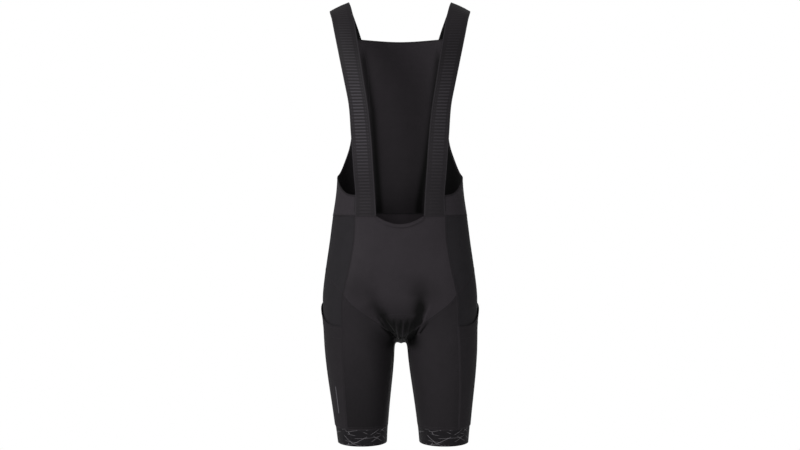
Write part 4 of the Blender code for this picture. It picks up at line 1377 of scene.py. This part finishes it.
# Columns: setting, place, size
LAMPS = (
    ("key", (-1.9, -2.1, 1.2), 1.3),
    ("fill", (1.2, -2.7, -0.5), 1.6),
    ("back", (0.3, 2.5, -0.5), 1.4),
)
MIDDLE_HEIGHT = -0.465
CAMERA_DISTANCE = 2.372
# The camera's lens and the width of its sensor, in millimetres
LENS = 50
SENSOR_WIDTH = 36
FLOOR_CORNERS = 96


def make_stage():
    """A pale floor, soft light and the camera."""
    choice = settings("bib_stage")
    deselect()
    bpy.ops.mesh.primitive_circle_add(
        vertices=FLOOR_CORNERS, radius=choice.floor, fill_type="NGON", location=(0, 0, FLOOR_HEIGHT)
    )
    floor = bpy.context.object
    floor.name = "floor"
    bpy.ops.object.transform_apply(location=True, rotation=True, scale=True)
    # Matt emulsion: pale, even and without gloss
    floor.data.materials.append(new_material("matt_white_paint", tuple(choice.paint), 0.9, 0.0)[0])
    world = bpy.context.scene.world or bpy.data.worlds.new("studio")
    bpy.context.scene.world = world
    world.use_nodes = True
    tree = world.node_tree
    tree.nodes["Background"].inputs["Color"].default_value = (1, 1, 1, 1)
    seen = add_node(tree, "ShaderNodeLightPath")
    strength = remap(tree, seen.outputs["Is Camera Ray"], (choice.room, 1.0))
    tree.links.new(strength, tree.nodes["Background"].inputs["Strength"])
    for name, place, size in LAMPS:
        data = bpy.data.lights.new(f"{name}_light", "AREA")
        data.energy = getattr(choice, name)
        data.size = size
        lamp = bpy.data.objects.new(data.name, data)
        lamp.location = place
        aim = Vector((0, 0, MIDDLE_HEIGHT)) - Vector(place)
        lamp.rotation_euler = aim.to_track_quat("-Z", "Y").to_euler()
        bpy.context.scene.collection.objects.link(lamp)
    camera = bpy.data.objects.new("camera", bpy.data.cameras.new("camera"))
    camera.location = (0, -CAMERA_DISTANCE, MIDDLE_HEIGHT)
    camera.rotation_euler = (math.pi / 2, 0, 0)
    camera.data.lens = LENS
    camera.data.sensor_width = SENSOR_WIDTH
    bpy.context.scene.collection.objects.link(camera)
    bpy.context.scene.camera = camera
    bpy.context.scene.view_settings.view_transform = "Standard"


# Operators

class MakeTrunk(bpy.types.Operator):
    """Make the front, the seat and both hip panels"""

    bl_idname = "bib_shorts.make_trunk"
    bl_label = "Trunk Panels"

    def execute(self, _context):
        make_cloth("front_panel", "seat_panel", "side_panel")
        return {"FINISHED"}


class MakeLegs(bpy.types.Operator):
    """Make the front and back panels and the outer inserts of both thighs"""

    bl_idname = "bib_shorts.make_legs"
    bl_label = "Leg Panels"

    def execute(self, _context):
        make_cloth("leg_", "thigh_")
        return {"FINISHED"}


class MakePockets(bpy.types.Operator):
    """Make both cargo pockets"""

    bl_idname = "bib_shorts.make_pockets"
    bl_label = "Cargo Pockets"

    def execute(self, _context):
        make_cloth("cargo_")
        return {"FINISHED"}


class MakeHemBands(bpy.types.Operator):
    """Make the elastic bands at the hems"""

    bl_idname = "bib_shorts.make_hem_bands"
    bl_label = "Hem Bands"

    def execute(self, _context):
        make_cloth("gripper_")
        return {"FINISHED"}


class MakeBib(bpy.types.Operator):
    """Make the mesh back of the bib and the binding of the neckline"""

    bl_idname = "bib_shorts.make_bib"
    bl_label = "Bib"

    def execute(self, _context):
        make_cloth("bib_", "neck_")
        return {"FINISHED"}


class MakeStraps(bpy.types.Operator):
    """Make both ribbed straps"""

    bl_idname = "bib_shorts.make_straps"
    bl_label = "Straps"

    def execute(self, _context):
        make_straps()
        return {"FINISHED"}


class MakePad(bpy.types.Operator):
    """Make the padded insert"""

    bl_idname = "bib_shorts.make_pad"
    bl_label = "Padded Insert"

    def execute(self, _context):
        make_pad()
        return {"FINISHED"}


class SewSeams(bpy.types.Operator):
    """Sew the flat seams between the panels"""

    bl_idname = "bib_shorts.sew_seams"
    bl_label = "Flat Seams"

    def execute(self, _context):
        make_seams()
        return {"FINISHED"}


class SewTrim(bpy.types.Operator):
    """Sew the edges and hems of the pockets, the bib and the neckline"""

    bl_idname = "bib_shorts.sew_trim"
    bl_label = "Edges and Hems"

    def execute(self, _context):
        make_waist_tape()
        make_pocket_trim()
        make_bib_trim()
        make_front_trim()
        return {"FINISHED"}


class PressBar(bpy.types.Operator):
    """Press the reflective bar on the left thigh"""

    bl_idname = "bib_shorts.press_bar"
    bl_label = "Reflective Bar"

    def execute(self, _context):
        make_bar()
        return {"FINISHED"}


class MakeStage(bpy.types.Operator):
    """Set the floor, the light and the camera"""

    bl_idname = "bib_shorts.make_stage"
    bl_label = "Stage"

    def execute(self, _context):
        make_stage()
        return {"FINISHED"}


OPERATORS = (
    MakeTrunk,
    MakeLegs,
    MakePockets,
    MakeHemBands,
    MakeBib,
    MakeStraps,
    MakePad,
    SewSeams,
    SewTrim,
    PressBar,
    MakeStage,
)


class BibShortsPanel(bpy.types.Panel):
    """Settings and steps of the bib shorts"""

    bl_idname = "VIEW3D_PT_bib_shorts"
    bl_label = "Bib Shorts"
    bl_space_type = "VIEW_3D"
    bl_region_type = "UI"
    bl_category = "Bib Shorts"

    def draw(self, context):
        for name in GROUPS:
            group = getattr(context.scene, name)
            box = self.layout.box()
            for key in group.__annotations__:
                box.prop(group, key)
        for operator in OPERATORS:
            self.layout.operator(operator.bl_idname)


CLASSES = (*GROUPS.values(), *OPERATORS, BibShortsPanel)


def register():
    """Make the settings, the operators and the panel known."""
    for kind in CLASSES:
        bpy.utils.register_class(kind)
    for name, kind in GROUPS.items():
        setattr(bpy.types.Scene, name, PointerProperty(type=kind))


def unregister():
    """Take them away again."""
    for name in GROUPS:
        delattr(bpy.types.Scene, name)
    for kind in reversed(CLASSES):
        bpy.utils.unregister_class(kind)


def main():
    """Build every piece in order."""
    register()
    bpy.ops.bib_shorts.make_trunk()
    bpy.ops.bib_shorts.make_legs()
    bpy.ops.bib_shorts.make_pockets()
    bpy.ops.bib_shorts.make_hem_bands()
    bpy.ops.bib_shorts.make_bib()
    bpy.ops.bib_shorts.make_straps()
    bpy.ops.bib_shorts.make_pad()
    bpy.ops.bib_shorts.sew_seams()
    bpy.ops.bib_shorts.sew_trim()
    bpy.ops.bib_shorts.press_bar()
    bpy.ops.bib_shorts.make_stage()


if __name__ == "__main__":
    main()
